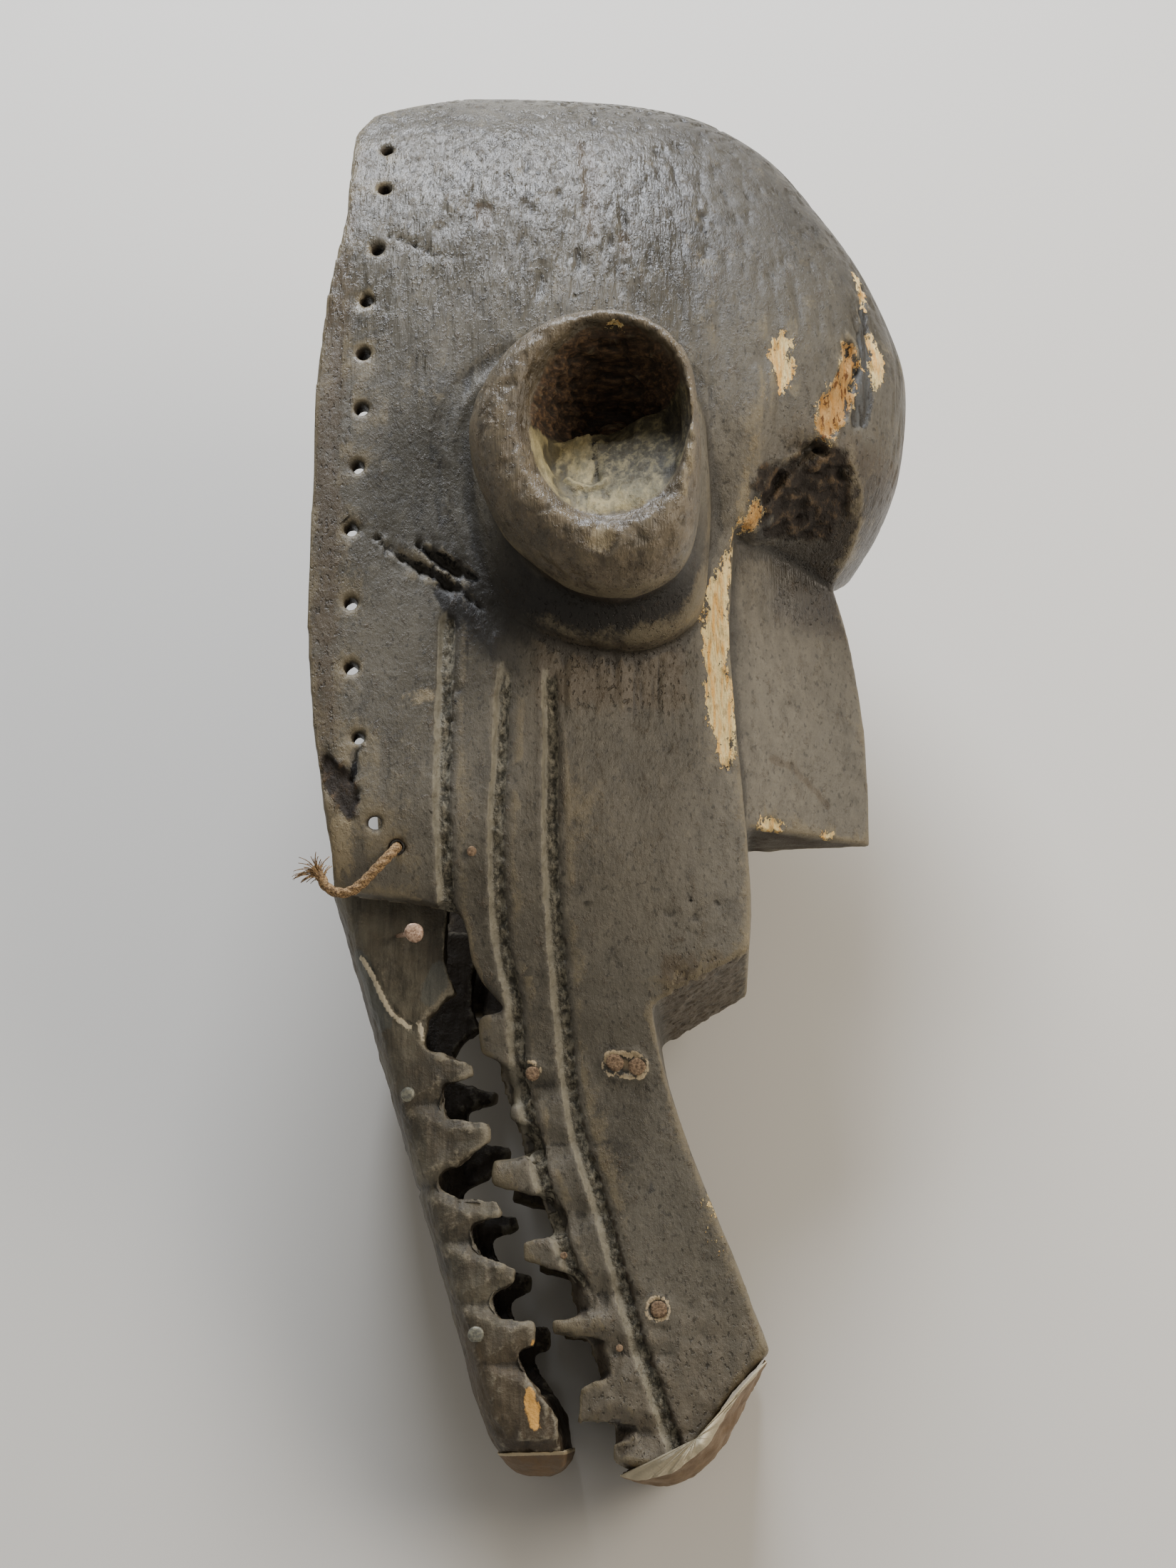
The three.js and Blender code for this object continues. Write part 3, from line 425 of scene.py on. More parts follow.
def loft(rings):
    """A closed skin over rings of points, with a fan at each end."""
    rings = np.array(rings, float)
    count, around = rings.shape[:2]
    points = rings.reshape(-1, 3)
    i = np.arange(around)
    nxt = (i + 1) % around
    faces = []
    for r in range(count - 1):
        a, b = r * around + i, r * around + nxt
        faces.append(np.stack([b, a, a + around], 1))
        faces.append(np.stack([b, a + around, b + around], 1))
    hubs = np.stack([rings[0].mean(0), rings[-1].mean(0)])
    first, last = len(points), len(points) + 1
    end = (count - 1) * around
    faces.append(np.stack([np.full(around, first), i, nxt], 1))
    faces.append(np.stack([np.full(around, last), end + nxt, end + i], 1))
    return as_outward(np.concatenate([points, hubs]), np.concatenate(faces))


def peg(start, end, radius, sides=24):
    start, end = np.array(start, float), np.array(end, float)
    along = unit(end - start)
    side = unit(np.cross(along, [0.0, 0.0, 1.0] if abs(along[2]) < 0.9 else [1.0, 0.0, 0.0]))
    other = np.cross(along, side)
    turn = np.linspace(0, 2 * math.pi, sides, endpoint=False)[:, None]
    ring = radius * (np.cos(turn) * side + np.sin(turn) * other)
    return loft([start + ring, end + ring])


def linked(name, data):
    """A new object in the scene."""
    obj = bpy.data.objects.new(name, data)
    bpy.context.scene.collection.objects.link(obj)
    return obj


def mesh_of(name, points, faces):
    mesh = bpy.data.meshes.new(name)
    mesh.vertices.add(len(points))
    mesh.vertices.foreach_set("co", np.asarray(points, np.float32).ravel())
    mesh.loops.add(len(faces) * 3)
    mesh.loops.foreach_set("vertex_index", np.asarray(faces, np.int32).ravel())
    mesh.polygons.add(len(faces))
    mesh.polygons.foreach_set("loop_start", np.arange(0, len(faces) * 3, 3, dtype=np.int32))
    mesh.update(calc_edges=True)
    return mesh


def object_of(name, solid):
    return linked(name, mesh_of(name, *solid))


def plate(name, outline, low, high):
    """A flat plate with the given side outline, (x, y) pairs, from one z to another."""
    ring = np.array([(x, y, 0.0) for x, y in outline])
    mesh = bpy.data.meshes.new(name)
    n = len(ring)
    points = np.concatenate([ring + [0, 0, low], ring + [0, 0, high]])
    area = np.sum(ring[:, 0] * np.roll(ring[:, 1], -1) - np.roll(ring[:, 0], -1) * ring[:, 1])
    order = list(range(n)) if area > 0 else list(range(n))[::-1]
    faces = [tuple(order[::-1]), tuple(i + n for i in order)]
    for a, b in zip(order, order[1:] + order[:1]):
        faces.append((a, b, b + n, a + n))
    mesh.from_pydata(points.tolist(), [], faces)
    return linked(name, mesh)


def settle(obj):
    """Makes the object's modifiers part of its mesh."""
    graph = bpy.context.evaluated_depsgraph_get()
    mesh = bpy.data.meshes.new_from_object(obj.evaluated_get(graph), depsgraph=graph)
    old = obj.data
    obj.modifiers.clear()
    obj.data = mesh
    bpy.data.meshes.remove(old)
    return obj


def combine(obj, tools, operation):
    """Joins the tools to a solid or cuts them from it, and removes them."""
    for tool in tools:
        change = obj.modifiers.new("change", "BOOLEAN")
        change.operation = operation
        change.solver = "MANIFOLD"
        change.object = tool
    settle(obj)
    for tool in tools:
        bpy.data.objects.remove(tool)
    if len(obj.data.vertices) == 0:
        raise RuntimeError(f"{obj.name}: nothing is left after {operation.lower()}")
    return obj


def remade(obj, grain):
    """The same form with even facets about as wide as grain."""
    change = obj.modifiers.new("even", "REMESH")
    change.mode = "VOXEL"
    change.voxel_size = grain
    return settle(obj)


# How much the weights count when triangles are taken away. Much more would spoil the far side's form.
KEEP_SHARE = 0.008
# Steps of weight. None of them is 0 or 1, because Blender takes nothing away where a weight is at its end.
KEEP_STEPS = 7


def thinned(obj, most, keep=None):
    """Takes triangles away where the form is plain, until at most so many are left."""
    obj.modifiers.new("triangles", "TRIANGULATE")
    settle(obj)
    have = len(obj.data.polygons)
    if have > most:
        change = obj.modifiers.new("fewer", "DECIMATE")
        change.ratio = most / have
        if keep is not None:
            group = obj.vertex_groups.new(name="keep")
            levels = np.round(np.clip(keep, 0, 1) * (KEEP_STEPS - 1)).astype(int)
            for level in range(KEEP_STEPS):
                members = np.where(levels == level)[0]
                if len(members):
                    group.add(members.tolist(), (level + 1) / (KEEP_STEPS + 1), "REPLACE")
            change.vertex_group = "keep"
            change.vertex_group_factor = KEEP_SHARE
            change.invert_vertex_group = True
        settle(obj)
    return obj


class Skin:
    """The points, edges and outward directions of an object's mesh, for reshaping it."""

    def __init__(self, obj):
        self.obj = obj
        self.read()

    def read(self):
        mesh = self.obj.data
        n = len(mesh.vertices)
        points = np.zeros(n * 3, np.float32)
        mesh.vertices.foreach_get("co", points)
        self.points = points.reshape(-1, 3).astype(float)
        edges = np.zeros(len(mesh.edges) * 2, np.int32)
        mesh.edges.foreach_get("vertices", edges)
        self.edges = edges.reshape(-1, 2)
        self.degree = np.bincount(self.edges.ravel(), minlength=n).astype(float)
        self.find_normals()

    def find_normals(self):
        normals = np.zeros(len(self.points) * 3, np.float32)
        self.obj.data.vertex_normals.foreach_get("vector", normals)
        self.normals = normals.reshape(-1, 3).astype(float)

    def write(self):
        self.obj.data.vertices.foreach_set("co", self.points.astype(np.float32).ravel())
        self.obj.data.update()
        self.find_normals()

    def mean_of(self, values):
        """Each point's neighbours' mean."""
        a, b = self.edges.T
        values = values if values.ndim == 2 else values[:, None]
        total = np.stack([
            np.bincount(a, values[b, k], len(values)) + np.bincount(b, values[a, k], len(values))
            for k in range(values.shape[1])
        ], 1)
        return np.squeeze(total / self.degree[:, None])

    def smooth(self, rounds):
        for _ in range(rounds):
            self.points += (self.mean_of(self.points) - self.points) * 0.5
        self.write()

    def bulge(self, rounds):
        """How far each point stands out from its surroundings, in millimetres."""
        calm = self.points.copy()
        for _ in range(rounds):
            calm += (self.mean_of(calm) - calm) * 0.6
        return np.einsum("ij,ij->i", self.points - calm, self.normals)

    def push(self, amount):
        self.points += self.normals * amount[:, None]
        self.write()

    def mark(self, name, values):
        layer = self.obj.data.attributes.new(name, "FLOAT", "POINT")
        layer.data.foreach_set("value", np.asarray(values, np.float32))


# The mask body's solids

BODY_GRAIN, BODY_MOST = ((1.5, 192000))
JAW_GRAIN, JAW_MOST = ((1.15, 120000))
CAP_GRAIN, CAP_MOST = ((0.55, 60000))
CARVED_ROUNDS, HIDE_ROUNDS = 3, 4
# Weights with which triangles are kept on the far side, and how much more on the near side
KEEP_FAR, KEEP_NEAR = 0.1, 0.8


def outer_block():
    heights = np.concatenate([
        np.linspace(25, CHIN_ROOT[1] - 1, 60), np.linspace(CHIN_ROOT[1] + 12, BROW_LOW - 15, 50),
        lerp(BROW_LOW - 15, CROWN - 0.4, np.sin(np.linspace(0.02, 1, 90) * math.pi / 2)),
    ])
    return loft([section(y, 0, 0, 110) for y in heights])


def hollow_front(y):
    channel = through(MUZZLE_FRONT, min(y, CHIN_ROOT[1])) - MUZZLE_WALL
    face = through(FACE, y) - FACE_WALL
    low = lerp(channel, face, smoothstep(y, CHIN_ROOT[1] + 12, CHIN_TOP + 16))
    return lerp(low, front_reach(y) - DOME_WALL, smoothstep(y, BROW_LOW + 25, BROW_LOW + 95))


def hollow():
    heights = np.concatenate([
        np.linspace(60, 545, 90), lerp(545, CROWN - WALL - 2, np.sin(np.linspace(0.03, 1, 50) * math.pi / 2)),
    ])
    rings = []
    for y in heights:
        above = y + WALL * smoothstep(y, ARCH_SPRING, CROWN - 40)
        side = min(half_width(y) - half_width(above) + WALL, half_width(y) - LEAST_WALL)
        front = min(front_reach(y) - hollow_front(y), front_reach(y) - 8)
        rings.append(section(y, side, front, 70))
    return loft(rings)


def face_cut():
    reach = FACE_REACH + 110
    rings = []
    for z in np.linspace(-130, 130, 53):
        side = min(abs(z), 75) / 60
        xs = lerp(FACE[-1][1], reach, np.linspace(0, 1, 30) ** 1.4)
        ceiling = BROW_LOW + 12 * side + np.maximum(0, xs - 200) * side * side
        ring = [(x, y, z) for x, y in zip(xs, ceiling)]
        ring += [(reach, 235, z), (CHIN_ROOT[0] + 10, 235, z), (CHIN_ROOT[0], CHIN_ROOT[1], z)]
        ring += [(float(through(FACE, y)), y, z) for y in np.linspace(FACE[0][0], FACE[-2][0], 18)]
        rings.append(ring)
    return loft(rings)


def nose():
    rings = []
    for t in np.linspace(0, 1, 36):
        y = lerp(NOSE_LOW, NOSE_HIGH, t)
        ridge = float(through(NOSE_RIDGE, y))
        face = float(through(FACE, min(y, FACE[-1][0])))
        half = lerp(NOSE_HALF[0], NOSE_HALF[1], t)
        near = np.array([
            (ridge, NOSE_RIDGE_HALF), (lerp(ridge, face, 0.5) + 1.5, half * 0.5), (face, half), (NOSE_ROOT, half + 4),
        ])
        x = np.concatenate([lerp(near[k, 0], near[k + 1, 0], np.linspace(0, 1, 8)) for k in range(3)])
        z = np.concatenate([lerp(near[k, 1], near[k + 1, 1], np.linspace(0, 1, 8)) for k in range(3)])
        far_y = y + NOSE_FAR_RISE * (1 - t) * z / half
        ring = [(a, y, c) for a, c in zip(x, z)]
        ring += [(a, b, -c) for a, b, c in zip(x[::-1], far_y[::-1], z[::-1])]
        rings.append(ring)
    return loft(rings)


def oval_within(lip, oval):
    x, y, half_x, half_y = oval
    turn = np.arctan2((lip[:, 1] - y) / half_y, (lip[:, 0] - x) / half_x)
    return np.stack([x + half_x * np.cos(turn), y + half_y * np.sin(turn)], 1)


SOCKET_AROUND = 120


def between(a, b, share, z):
    flat = lerp(a, b, share)
    return np.concatenate([flat, np.full((len(flat), 1), float(z))], 1)


def socket(side):
    lip = curve_points(SOCKET_LIP, SOCKET_AROUND, True)
    foot = curve_points(SOCKET_FOOT, SOCKET_AROUND, True)
    pit = oval_within(lip, PIT_EDGE)
    rings = [between(foot, lip, share, z) for z, share in ((SOCKET_ROOT, 0), (94, 0.05))]
    rings += [between(lip, pit, share, z) for z, share in ((106, 0.16), (118, 0.12), (131, 0.0))]
    top = [(SOCKET_RIM - 17, 0.0), (SOCKET_RIM - 8, 0.16), (SOCKET_RIM - 2.5, 0.36), (SOCKET_RIM, 0.62)]
    rings += [between(lip, pit, share, z) for z, share in top]
    return loft(smooth_rings(rings, 8) * [1, 1, side])


def shelf_line(x):
    """Where the pit's deep hole begins above its shelf."""
    return SHELF_EDGE[1] + SHELF_EDGE[2] * (x - SHELF_EDGE[0])


def socket_pit(side):
    lip = curve_points(SOCKET_LIP, SOCKET_AROUND, True)
    pit = oval_within(lip, PIT_EDGE)
    floor = oval_within(lip, PIT_FLOOR)
    top = [(SOCKET_RIM + 3, 0.35), (SOCKET_RIM - 1, 0.74), (SOCKET_RIM - 7, 0.95)]
    wall = [(0.25, 0.12), (0.5, 0.32), (0.75, 0.6), (1, 1)]
    rings = [between(lip, pit, share, z) for z, share in top]
    rings += [between(pit, floor, share, lerp(SOCKET_RIM, PIT_DEPTH_Z, depth)) for depth, share in wall]
    rings = smooth_rings(rings, 8)
    below = shelf_line(rings[..., 0]) - rings[..., 1]
    shelf = lerp(*SHELF_Z, np.clip(below / SHELF_FALL, 0, 1)) + SHELF_LIP * np.minimum(below, 0)
    rings[..., 2] = np.maximum(rings[..., 2], shelf)
    return loft(rings * [1, 1, side])


def mouth_cut(cheek_edge, side):
    gum = [(float(upper_gum(y)), y, GUM_BEVEL) for y in (214, 170, 130, 90, 56)]
    end = [(139, 38, GUM_BEVEL), (139, 0, 0), (-60, 0, 0)]
    outline = np.array([(x, y, 0) for x, y in cheek_edge] + gum + end, float)

    def ring(share, depth):
        return np.stack([outline[:, 0] - outline[:, 2] * share, outline[:, 1], side * depth], 1)

    half = wall_half(outline[:, 1])
    return loft([
        ring(1, np.full(len(outline), -0.01)), ring(1, half - MUZZLE_WALL), ring(0, half),
        ring(0, np.full(len(outline), 130.0)),
    ])


def tooth(shape, root_x, half, side):
    top, bottom, tip, tip_top, tip_bottom = shape

    def face(x, y_top, y_bottom, trim):
        outer = [side * (float(half(y)) - trim) for y in (y_top, y_bottom)]
        inner = [side * (float(half(y)) - TOOTH_THICKNESS + trim) for y in (y_top, y_bottom)]
        return [(x, y_top, outer[0]), (x, y_bottom, outer[1]), (x, y_bottom, inner[1]), (x, y_top, inner[0])]

    belly = [lerp(a, b, 0.65) for a, b in ((root_x, tip), (top, tip_top), (bottom, tip_bottom))]
    return loft([face(root_x, top, bottom, 0.6), face(*belly, 0.9), face(tip, tip_top, tip_bottom, 3.2)])


def below_floor():
    """All that would sink below the floor."""
    height, reach = -ROW_SHIFT[2], 900
    square = [(-reach, -reach), (reach, -reach), (reach, reach), (-reach, reach)]
    corners = np.array([[(x, y, z) for x, y in square] for z in (height - 100, height)])
    return loft(corners @ ROW_TURN)


def body_blank():
    """The mask body without its fine carving."""
    body = object_of("mask_body_carved", outer_block())
    combine(body, [object_of("cut", face_cut())], "DIFFERENCE")
    combine(body, [object_of("add", solid) for solid in (nose(), socket(1), socket(-1))], "UNION")
    inside = object_of("cut", hollow())
    wall_end = [(x - 4, y + MUZZLE_WALL + 4) for x, y in MUZZLE_END]
    beyond = [(240, wall_end[0][1]), *wall_end, (90, 40), (90, 20), (240, 20)]
    combine(inside, [plate("end", beyond, -90, 90)], "DIFFERENCE")
    cuts = [inside, object_of("cut", socket_pit(1)), object_of("cut", socket_pit(-1))]
    cuts.append(plate("cut", [*RIM_LINE, (3, 200), (-80, 200), (-80, 780)], -200, 200))
    cuts.append(plate("cut", [(240, 100), (206, 98), *MUZZLE_END, (110, 30), (100, 0), (240, 0)], -90, 90))
    cuts += [object_of("cut", mouth_cut(NEAR_CHEEK_EDGE, 1)), object_of("cut", mouth_cut(FAR_CHEEK_EDGE, -1))]
    combine(body, cuts, "DIFFERENCE")
    teeth = [tooth(each, float(upper_gum(each[1])) + 6, wall_half, side) for each in UPPER_TEETH for side in (1, -1)]
    combine(body, [object_of("tooth", each) for each in teeth], "UNION")
    middle, normal = skin_points(LASH_HOLES)
    holes = []
    for side in (1, -1):
        flip = [1, 1, side]
        holes += [peg((m + 8 * n) * flip, (m - 28 * n) * flip, LASH_RADIUS) for m, n in zip(middle, normal)]
    combine(body, [object_of("hole", each) for each in holes] + [object_of("floor", below_floor())], "DIFFERENCE")
    return body


def jaw_edge_x(y):
    xs, ys = np.array(JAW_EDGE, float).T
    return np.interp(-y, -ys, xs)


def jaw_blank():
    """The lower jaw without its fine carving."""
    rings = []
    for y, trim in JAW_SECTIONS:
        low, half = jaw_bottom(y), float(jaw_half(y))
        under = curve_points([(low, 0), (low + 1, 0.48), (low + 3.5, 0.78), (low + 8, 0.95), (low + 14, 1)], 33)
        upper = [(lerp(low + 14, 130, share), 1 - 0.015 * share) for share in (0.33, 0.66, 1)]
        near = np.concatenate([under, upper])
        x = lerp(low + 18, near[:, 0], trim)
        z = half * near[:, 1] * trim
        ring = np.stack([x, np.full(len(x), y), z], 1)
        rings.append(np.concatenate([ring, ring[1:][::-1] * [1, 1, -1]]))
    jaw = object_of("lower_jaw_carved", loft(rings))
    trough = []
    for y in (JAW_ROOT + 10, 200, 72):
        inner, floor = float(jaw_half(y)) - JAW_WALL, jaw_bottom(y) + JAW_FLOOR
        near = [(floor, 0), (floor + 1, inner * 0.75), (floor + 8, inner), (140, inner)]
        ring = [(x, y, z) for x, z in near]
        trough.append(ring + [(x, y, -z) for x, z in near[:0:-1]])
    cuts = [plate("cut", [*JAW_EDGE, (180, 30), (180, 320)], -100, 100), object_of("cut", loft(trough))]
    combine(jaw, cuts, "DIFFERENCE")
    teeth = []
    for each in LOWER_TEETH:
        root = min(jaw_edge_x(each[0] - 1), jaw_edge_x(each[1] + 1)) - 5
        teeth += [tooth(each, root, jaw_half, side) for side in (1, -1)]
    return combine(jaw, [object_of("tooth", each) for each in teeth], "UNION")


def lay_down(obj):
    """Turns a finished piece from the mask's frame into the row's frame."""
    skin = Skin(obj)
    skin.points = np.clip(to_row(skin.points), *(np.array(corner) for corner in CAD_BOX))
    skin.write()
    obj.data.polygons.foreach_set("use_smooth", np.ones(len(obj.data.polygons), bool))
    obj.data.update()
    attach(obj, "root")
    return obj


# Places of the marks on the wood: routes of (x, y, z, half width), in millimetres
CUP_CRACKS = [
    [(20.9, 462.6, 103.6, 1.5), (27.8, 458.3, 103, 2), (31.8, 455.2, 102.5, 2.6), (41.9, 449.8, 101.1, 3.5),
     (52, 444.7, 99.6, 3), (63.7, 437, 97.6, 2.2), (72.7, 429.3, 95.8, 1.5)],
    [(39.4, 462.1, 101.8, 1.5), (45.1, 457.7, 100.8, 3), (52.5, 453.3, 99.6, 5), (60.2, 449.3, 98.3, 4),
     (67.9, 445.1, 96.8, 2.5)],
    [(18.2, 465.4, 103.8, 1.5), (23.3, 463.7, 103.4, 2), (25.3, 461.2, 103.3, 1)],
    [(50.7, 441.8, 99.8, 1), (58.7, 439.3, 98.5, 1.4), (68, 434.7, 96.7, 1)],
]
# Middle and reach of the hollow behind the brow's end, and the ridge beside it, whose edge also takes a painted
# highlight
TEMPLE_HOLLOW = ((219, 512, 70), (17, 44, 34))
TEMPLE_RIDGE = [(206, 553, 79, 2), (201, 530, 78, 3), (197.5, 511, 75, 3.2), (193.5, 487, 68, 3)]
RIM_WOUND = [
    (0.6, 355.4, 104.9, 3), (4.6, 349, 104.2, 6), (8, 342.4, 103.4, 7), (10.7, 335.8, 102.6, 6),
    (12.1, 330.1, 102.1, 3),
]
RIM_FISSURE = [(15.3, 362, 104.2, 2), (13.7, 355.8, 104, 2), (12.5, 346.7, 103.4, 3)]
RIM_FACET = [(7.2, 325.8, 102.1, 5), (7.4, 318, 99.9, 6), (7.8, 310.2, 97.1, 6), (9, 304.3, 94.9, 4)]
RAW_CHEEK = [
    (202.3, 491.5, 65.5, 3), (199.4, 483.9, 63, 5), (193.8, 474.4, 62, 5.5), (187.2, 460.6, 64.9, 4),
    (182.2, 447.7, 65.7, 6), (180.6, 433, 66.2, 7.5), (181.4, 418.6, 66, 7), (180.3, 409.5, 66.3, 4),
    (181.5, 400.7, 65.9, 7.5), (182.7, 390.1, 65.5, 7.5), (183.2, 379.5, 65.3, 6), (184.1, 369, 65.1, 4),
    (184.6, 359.9, 64.9, 1.5),
]
RAW_TEMPLE = [(215.7, 574.9, 74.3, 3), (214.1, 565.9, 75.7, 5.5), (216, 558.3, 75.5, 6.5), (215.2, 550.8, 75.4, 3)]
RAW_BROW = [
    (248.9, 578.2, 55.9, 4), (249.7, 568.4, 56.1, 6), (246.7, 555.7, 58.7, 7), (241.3, 544.2, 61.5, 9),
    (236.8, 532.9, 63.2, 6),
]
RAW_BROW_FRONT = [(261.3, 589.3, 44.5, 3), (263.6, 580.3, 42.6, 5), (263.6, 570.1, 43.5, 5), (261.8, 563, 46.1, 2)]
RAW_BROW_HIGH = [(256.2, 628.2, 33.5, 3), (257.9, 618.2, 37, 3), (258.2, 609.3, 40.4, 1.5)]
ASH_BROW = [
    (257, 616.1, 38.9, 3), (257.6, 598.9, 45.3, 4), (257, 577, 50, 5), (256.3, 556.8, 51.6, 6),
    (254.5, 543.7, 51.6, 6),
]
# Middle and reach of the brow's rotten underside, and of the crease below it, which is darkened as painted shade
ROTTEN_BROW = ((229, 499, 58), (30, 30, 30))
BROW_CREASE_SHADE = ((208, 487, 60), (16, 26, 26))
BROW_HOLE = [(236.5, 521, 61.1, 4)]
BROW_CREVICE = [
    (208.6, 495.5, 64.4, 4), (213.3, 502.6, 65, 5), (218.7, 509.8, 65.4, 5), (225.8, 515.8, 64.3, 5),
    (233, 524.3, 64.2, 5),
]
RAW_NOSE = [
    [(202.4, 338.5, 39.5, 3), (206.2, 338, 36.8, 4.5), (210, 337.9, 34.1, 3)],
    [(231.9, 338.5, 18.6, 2), (233.3, 337.3, 17.6, 3.5)],
]
RAW_LIP_LOW = [(130.3, 445.6, 156.9, 4), (130.5, 440.3, 159.4, 7), (131.4, 435.6, 160, 4)]
RAW_LIP_TOP = [(137.2, 546.6, 154.3, 2.5), (137.7, 545.5, 151.4, 2)]
RAW_LIP_RIGHT = [
    (170.1, 506.8, 157.9, 1.5), (171.2, 485.2, 159.6, 2), (169.7, 471.8, 158.9, 2.5), (168.3, 461.9, 158.1, 2),
]
RAW_MUZZLE_EDGE = [
    (170.4, 164, 46.3, 1.5), (173.5, 153.7, 45.5, 2), (175.3, 144.1, 45.1, 2), (176.5, 138.3, 44.9, 1.5),
]
RAW_CHIN_CORNER = [(193, 290, 62, 1.5), (193.2, 273.3, 61.9, 2), (190, 270.5, 60, 2)]
RAW_JAW_TEETH = [
    [(94, 94.1, 44, 3), (93, 88.4, 42, 3), (92, 83.2, 42, 2)],
    [(91, 73.1, 45, 2.5), (92.9, 63.8, 43.8, 3), (94.1, 59.1, 43.3, 2)],
]
PIT_SPLIT = [(125.5, 508, 124, 1.2), (126.2, 490, 136, 1.8), (127.5, 474, 144.5, 2.4)]
PIT_CHIP = [
    (114, 476, 141.5, 1.6), (118.4, 471.3, 144, 2), (124, 468.6, 145.5, 2.2), (130, 469.8, 145.3, 2),
    (134, 475, 143, 1.6),
]
DOME_SCARS = [
    [(118.2, 685.9, 70.9, 5), (120.2, 665.2, 78.7, 5), (121.6, 645.9, 84.5, 4), (122.9, 625.7, 89, 2.5)],
    [(67.4, 643.1, 89.3, 5), (69.1, 634.2, 91.2, 4)],
    [(138.3, 628.9, 85.9, 3), (138.8, 617.8, 88.2, 3)],
]
DOME_CHECKS = [
    [(178, 646.5, 72.9, 0.9), (178.6, 632.7, 76.4, 1.4), (179.2, 619.2, 79.6, 0.9)],
    [(19.6, 628.8, 93.3, 1.2), (31.3, 623.9, 94.3, 1.6), (41.4, 618.4, 95.3, 1.6), (51.5, 613.9, 95.9, 1.2)],
]
CHEEK_CHIPS = [
    [(165, 293.5, 68.5, 1.4), (166.7, 295.3, 68.1, 1.8)],
    [(154.1, 288.9, 70.2, 1), (164, 285.9, 68, 1), (173.9, 287.8, 66, 1), (178.9, 293.7, 65.2, 1)],
    [(155.7, 283.8, 68.9, 0.8), (170.5, 279.5, 66, 0.8), (180.3, 277.1, 63.5, 0.8)],
    [(58.8, 390, 98.5, 1.6), (59.5, 384.1, 98.4, 1.6)],
]
CHIN_NICK = [(157.6, 256.9, 65.3, 2), (160.3, 259.5, 65.7, 3), (163, 260.2, 65.5, 2)]
NOSE_SCAR = [(207.6, 371.3, 35.2, 2), (216.3, 369.6, 29.1, 2), (226.8, 360.5, 22, 2), (233.7, 352.6, 17.2, 2)]
CHEEK_PALE = [(33.3, 383.4, 102.3, 3), (39.8, 386, 101.4, 4), (47.3, 387.2, 100.3, 3)]
# The rings that nails have torn, and how wide their raised lip is
TORN_LIP = 1.4
TORN_RINGS = [
    [(92.1, 216.3, 62.2, 4.4)],
    [(131, 219.6, 60.8, 5.6), (141, 218.9, 59.8, 5.6)],
    [(149.7, 110, 48, 4.9)],
]
JAW_LINES = [
    [(12.3, 270.8, 60.7, 0.5), (15.9, 264.9, 61.2, 0.5), (18.8, 259.5, 61.3, 0.5), (21.9, 252.7, 61.2, 0.5),
     (26.8, 244.3, 60.8, 0.5), (31.2, 240.7, 60.4, 0.5), (35.2, 237.7, 60.2, 0.5)],
    [(39.8, 239.6, 60.3, 0.5), (40.9, 235.6, 59.9, 0.5), (41.2, 232, 59.6, 0.5)],
]
JAW_ASH = [
    [(11, 269.3, 58.2, 6), (14.3, 256.1, 57.6, 7), (21.8, 242.1, 58.6, 6)],
    [(43.8, 251.5, 61.3, 4), (47.7, 258.1, 61.9, 6), (49, 264.7, 62.4, 4)],
]
# Broken patches, and how many millimetres of wood have gone from each
BROKEN = [
    ([RAW_CHEEK], 1.6), ([RAW_TEMPLE], 1.2), ([RAW_BROW], 4.0), ([RAW_BROW_FRONT, RAW_BROW_HIGH], 1.0),
    ([ASH_BROW], 1.8), (RAW_NOSE, 1.4), ([RAW_LIP_LOW], 0.8), ([RAW_LIP_TOP], 0.8), ([RAW_MUZZLE_EDGE], 0.6),
    ([CHIN_NICK], 1.2), ([RIM_WOUND], 2.6), ([NOSE_SCAR], 0.5),
]
# Which routes carry each mark that the wood's colours read
MARKED = {
    "raw": [
        RAW_CHEEK, RAW_TEMPLE, RAW_BROW, RAW_BROW_FRONT, RAW_BROW_HIGH, *RAW_NOSE, RAW_LIP_TOP, RAW_MUZZLE_EDGE,
    ],
    "orange": [RAW_BROW, RAW_CHEEK[:3]],
    # The temple ridge's pale line is a painted highlight.
    "pale": [
        TEMPLE_RIDGE, RAW_LIP_LOW, RAW_LIP_RIGHT, RAW_CHIN_CORNER, CHEEK_PALE, CHIN_NICK, PIT_CHIP, RIM_FACET,
    ],
    "ash": [ASH_BROW],
    "crack": [*CUP_CRACKS, RIM_FISSURE, BROW_HOLE, BROW_CREVICE, PIT_SPLIT, *CHEEK_CHIPS, *DOME_CHECKS],
    "scar": [*DOME_SCARS, NOSE_SCAR],
    "torn_inside": TORN_RINGS,
}


def dense_route(marks, step=1.2):
    marks = np.array(marks, float)
    if len(marks) == 1:
        return marks
    chord = np.concatenate([[0], np.cumsum(np.linalg.norm(np.diff(marks[:, :3], axis=0), axis=1))])
    s = np.linspace(0, chord[-1], max(2, int(chord[-1] / step) + 1))
    return np.stack([np.interp(s, chord, marks[:, k]) for k in range(marks.shape[1])], 1)


def nearest_on(points, route, reach):
    """Which of the points are about within reach of a dense route, how far each is, and its nearest route point."""
    low, high = route[:, :3].min(0) - reach, route[:, :3].max(0) + reach
    inside = np.where(np.all((points > low) & (points < high), axis=1))[0]
    far = np.zeros(len(inside))
    which = np.zeros(len(inside), int)
    for start in range(0, len(inside), 8000):
        part = points[inside[start:start + 8000]]
        gap = ((part[:, None, :] - route[None, :, :3]) ** 2).sum(2)
        k = gap.argmin(1)
        which[start:start + 8000] = k
        far[start:start + 8000] = np.sqrt(gap[np.arange(len(part)), k])
    return inside, far, which


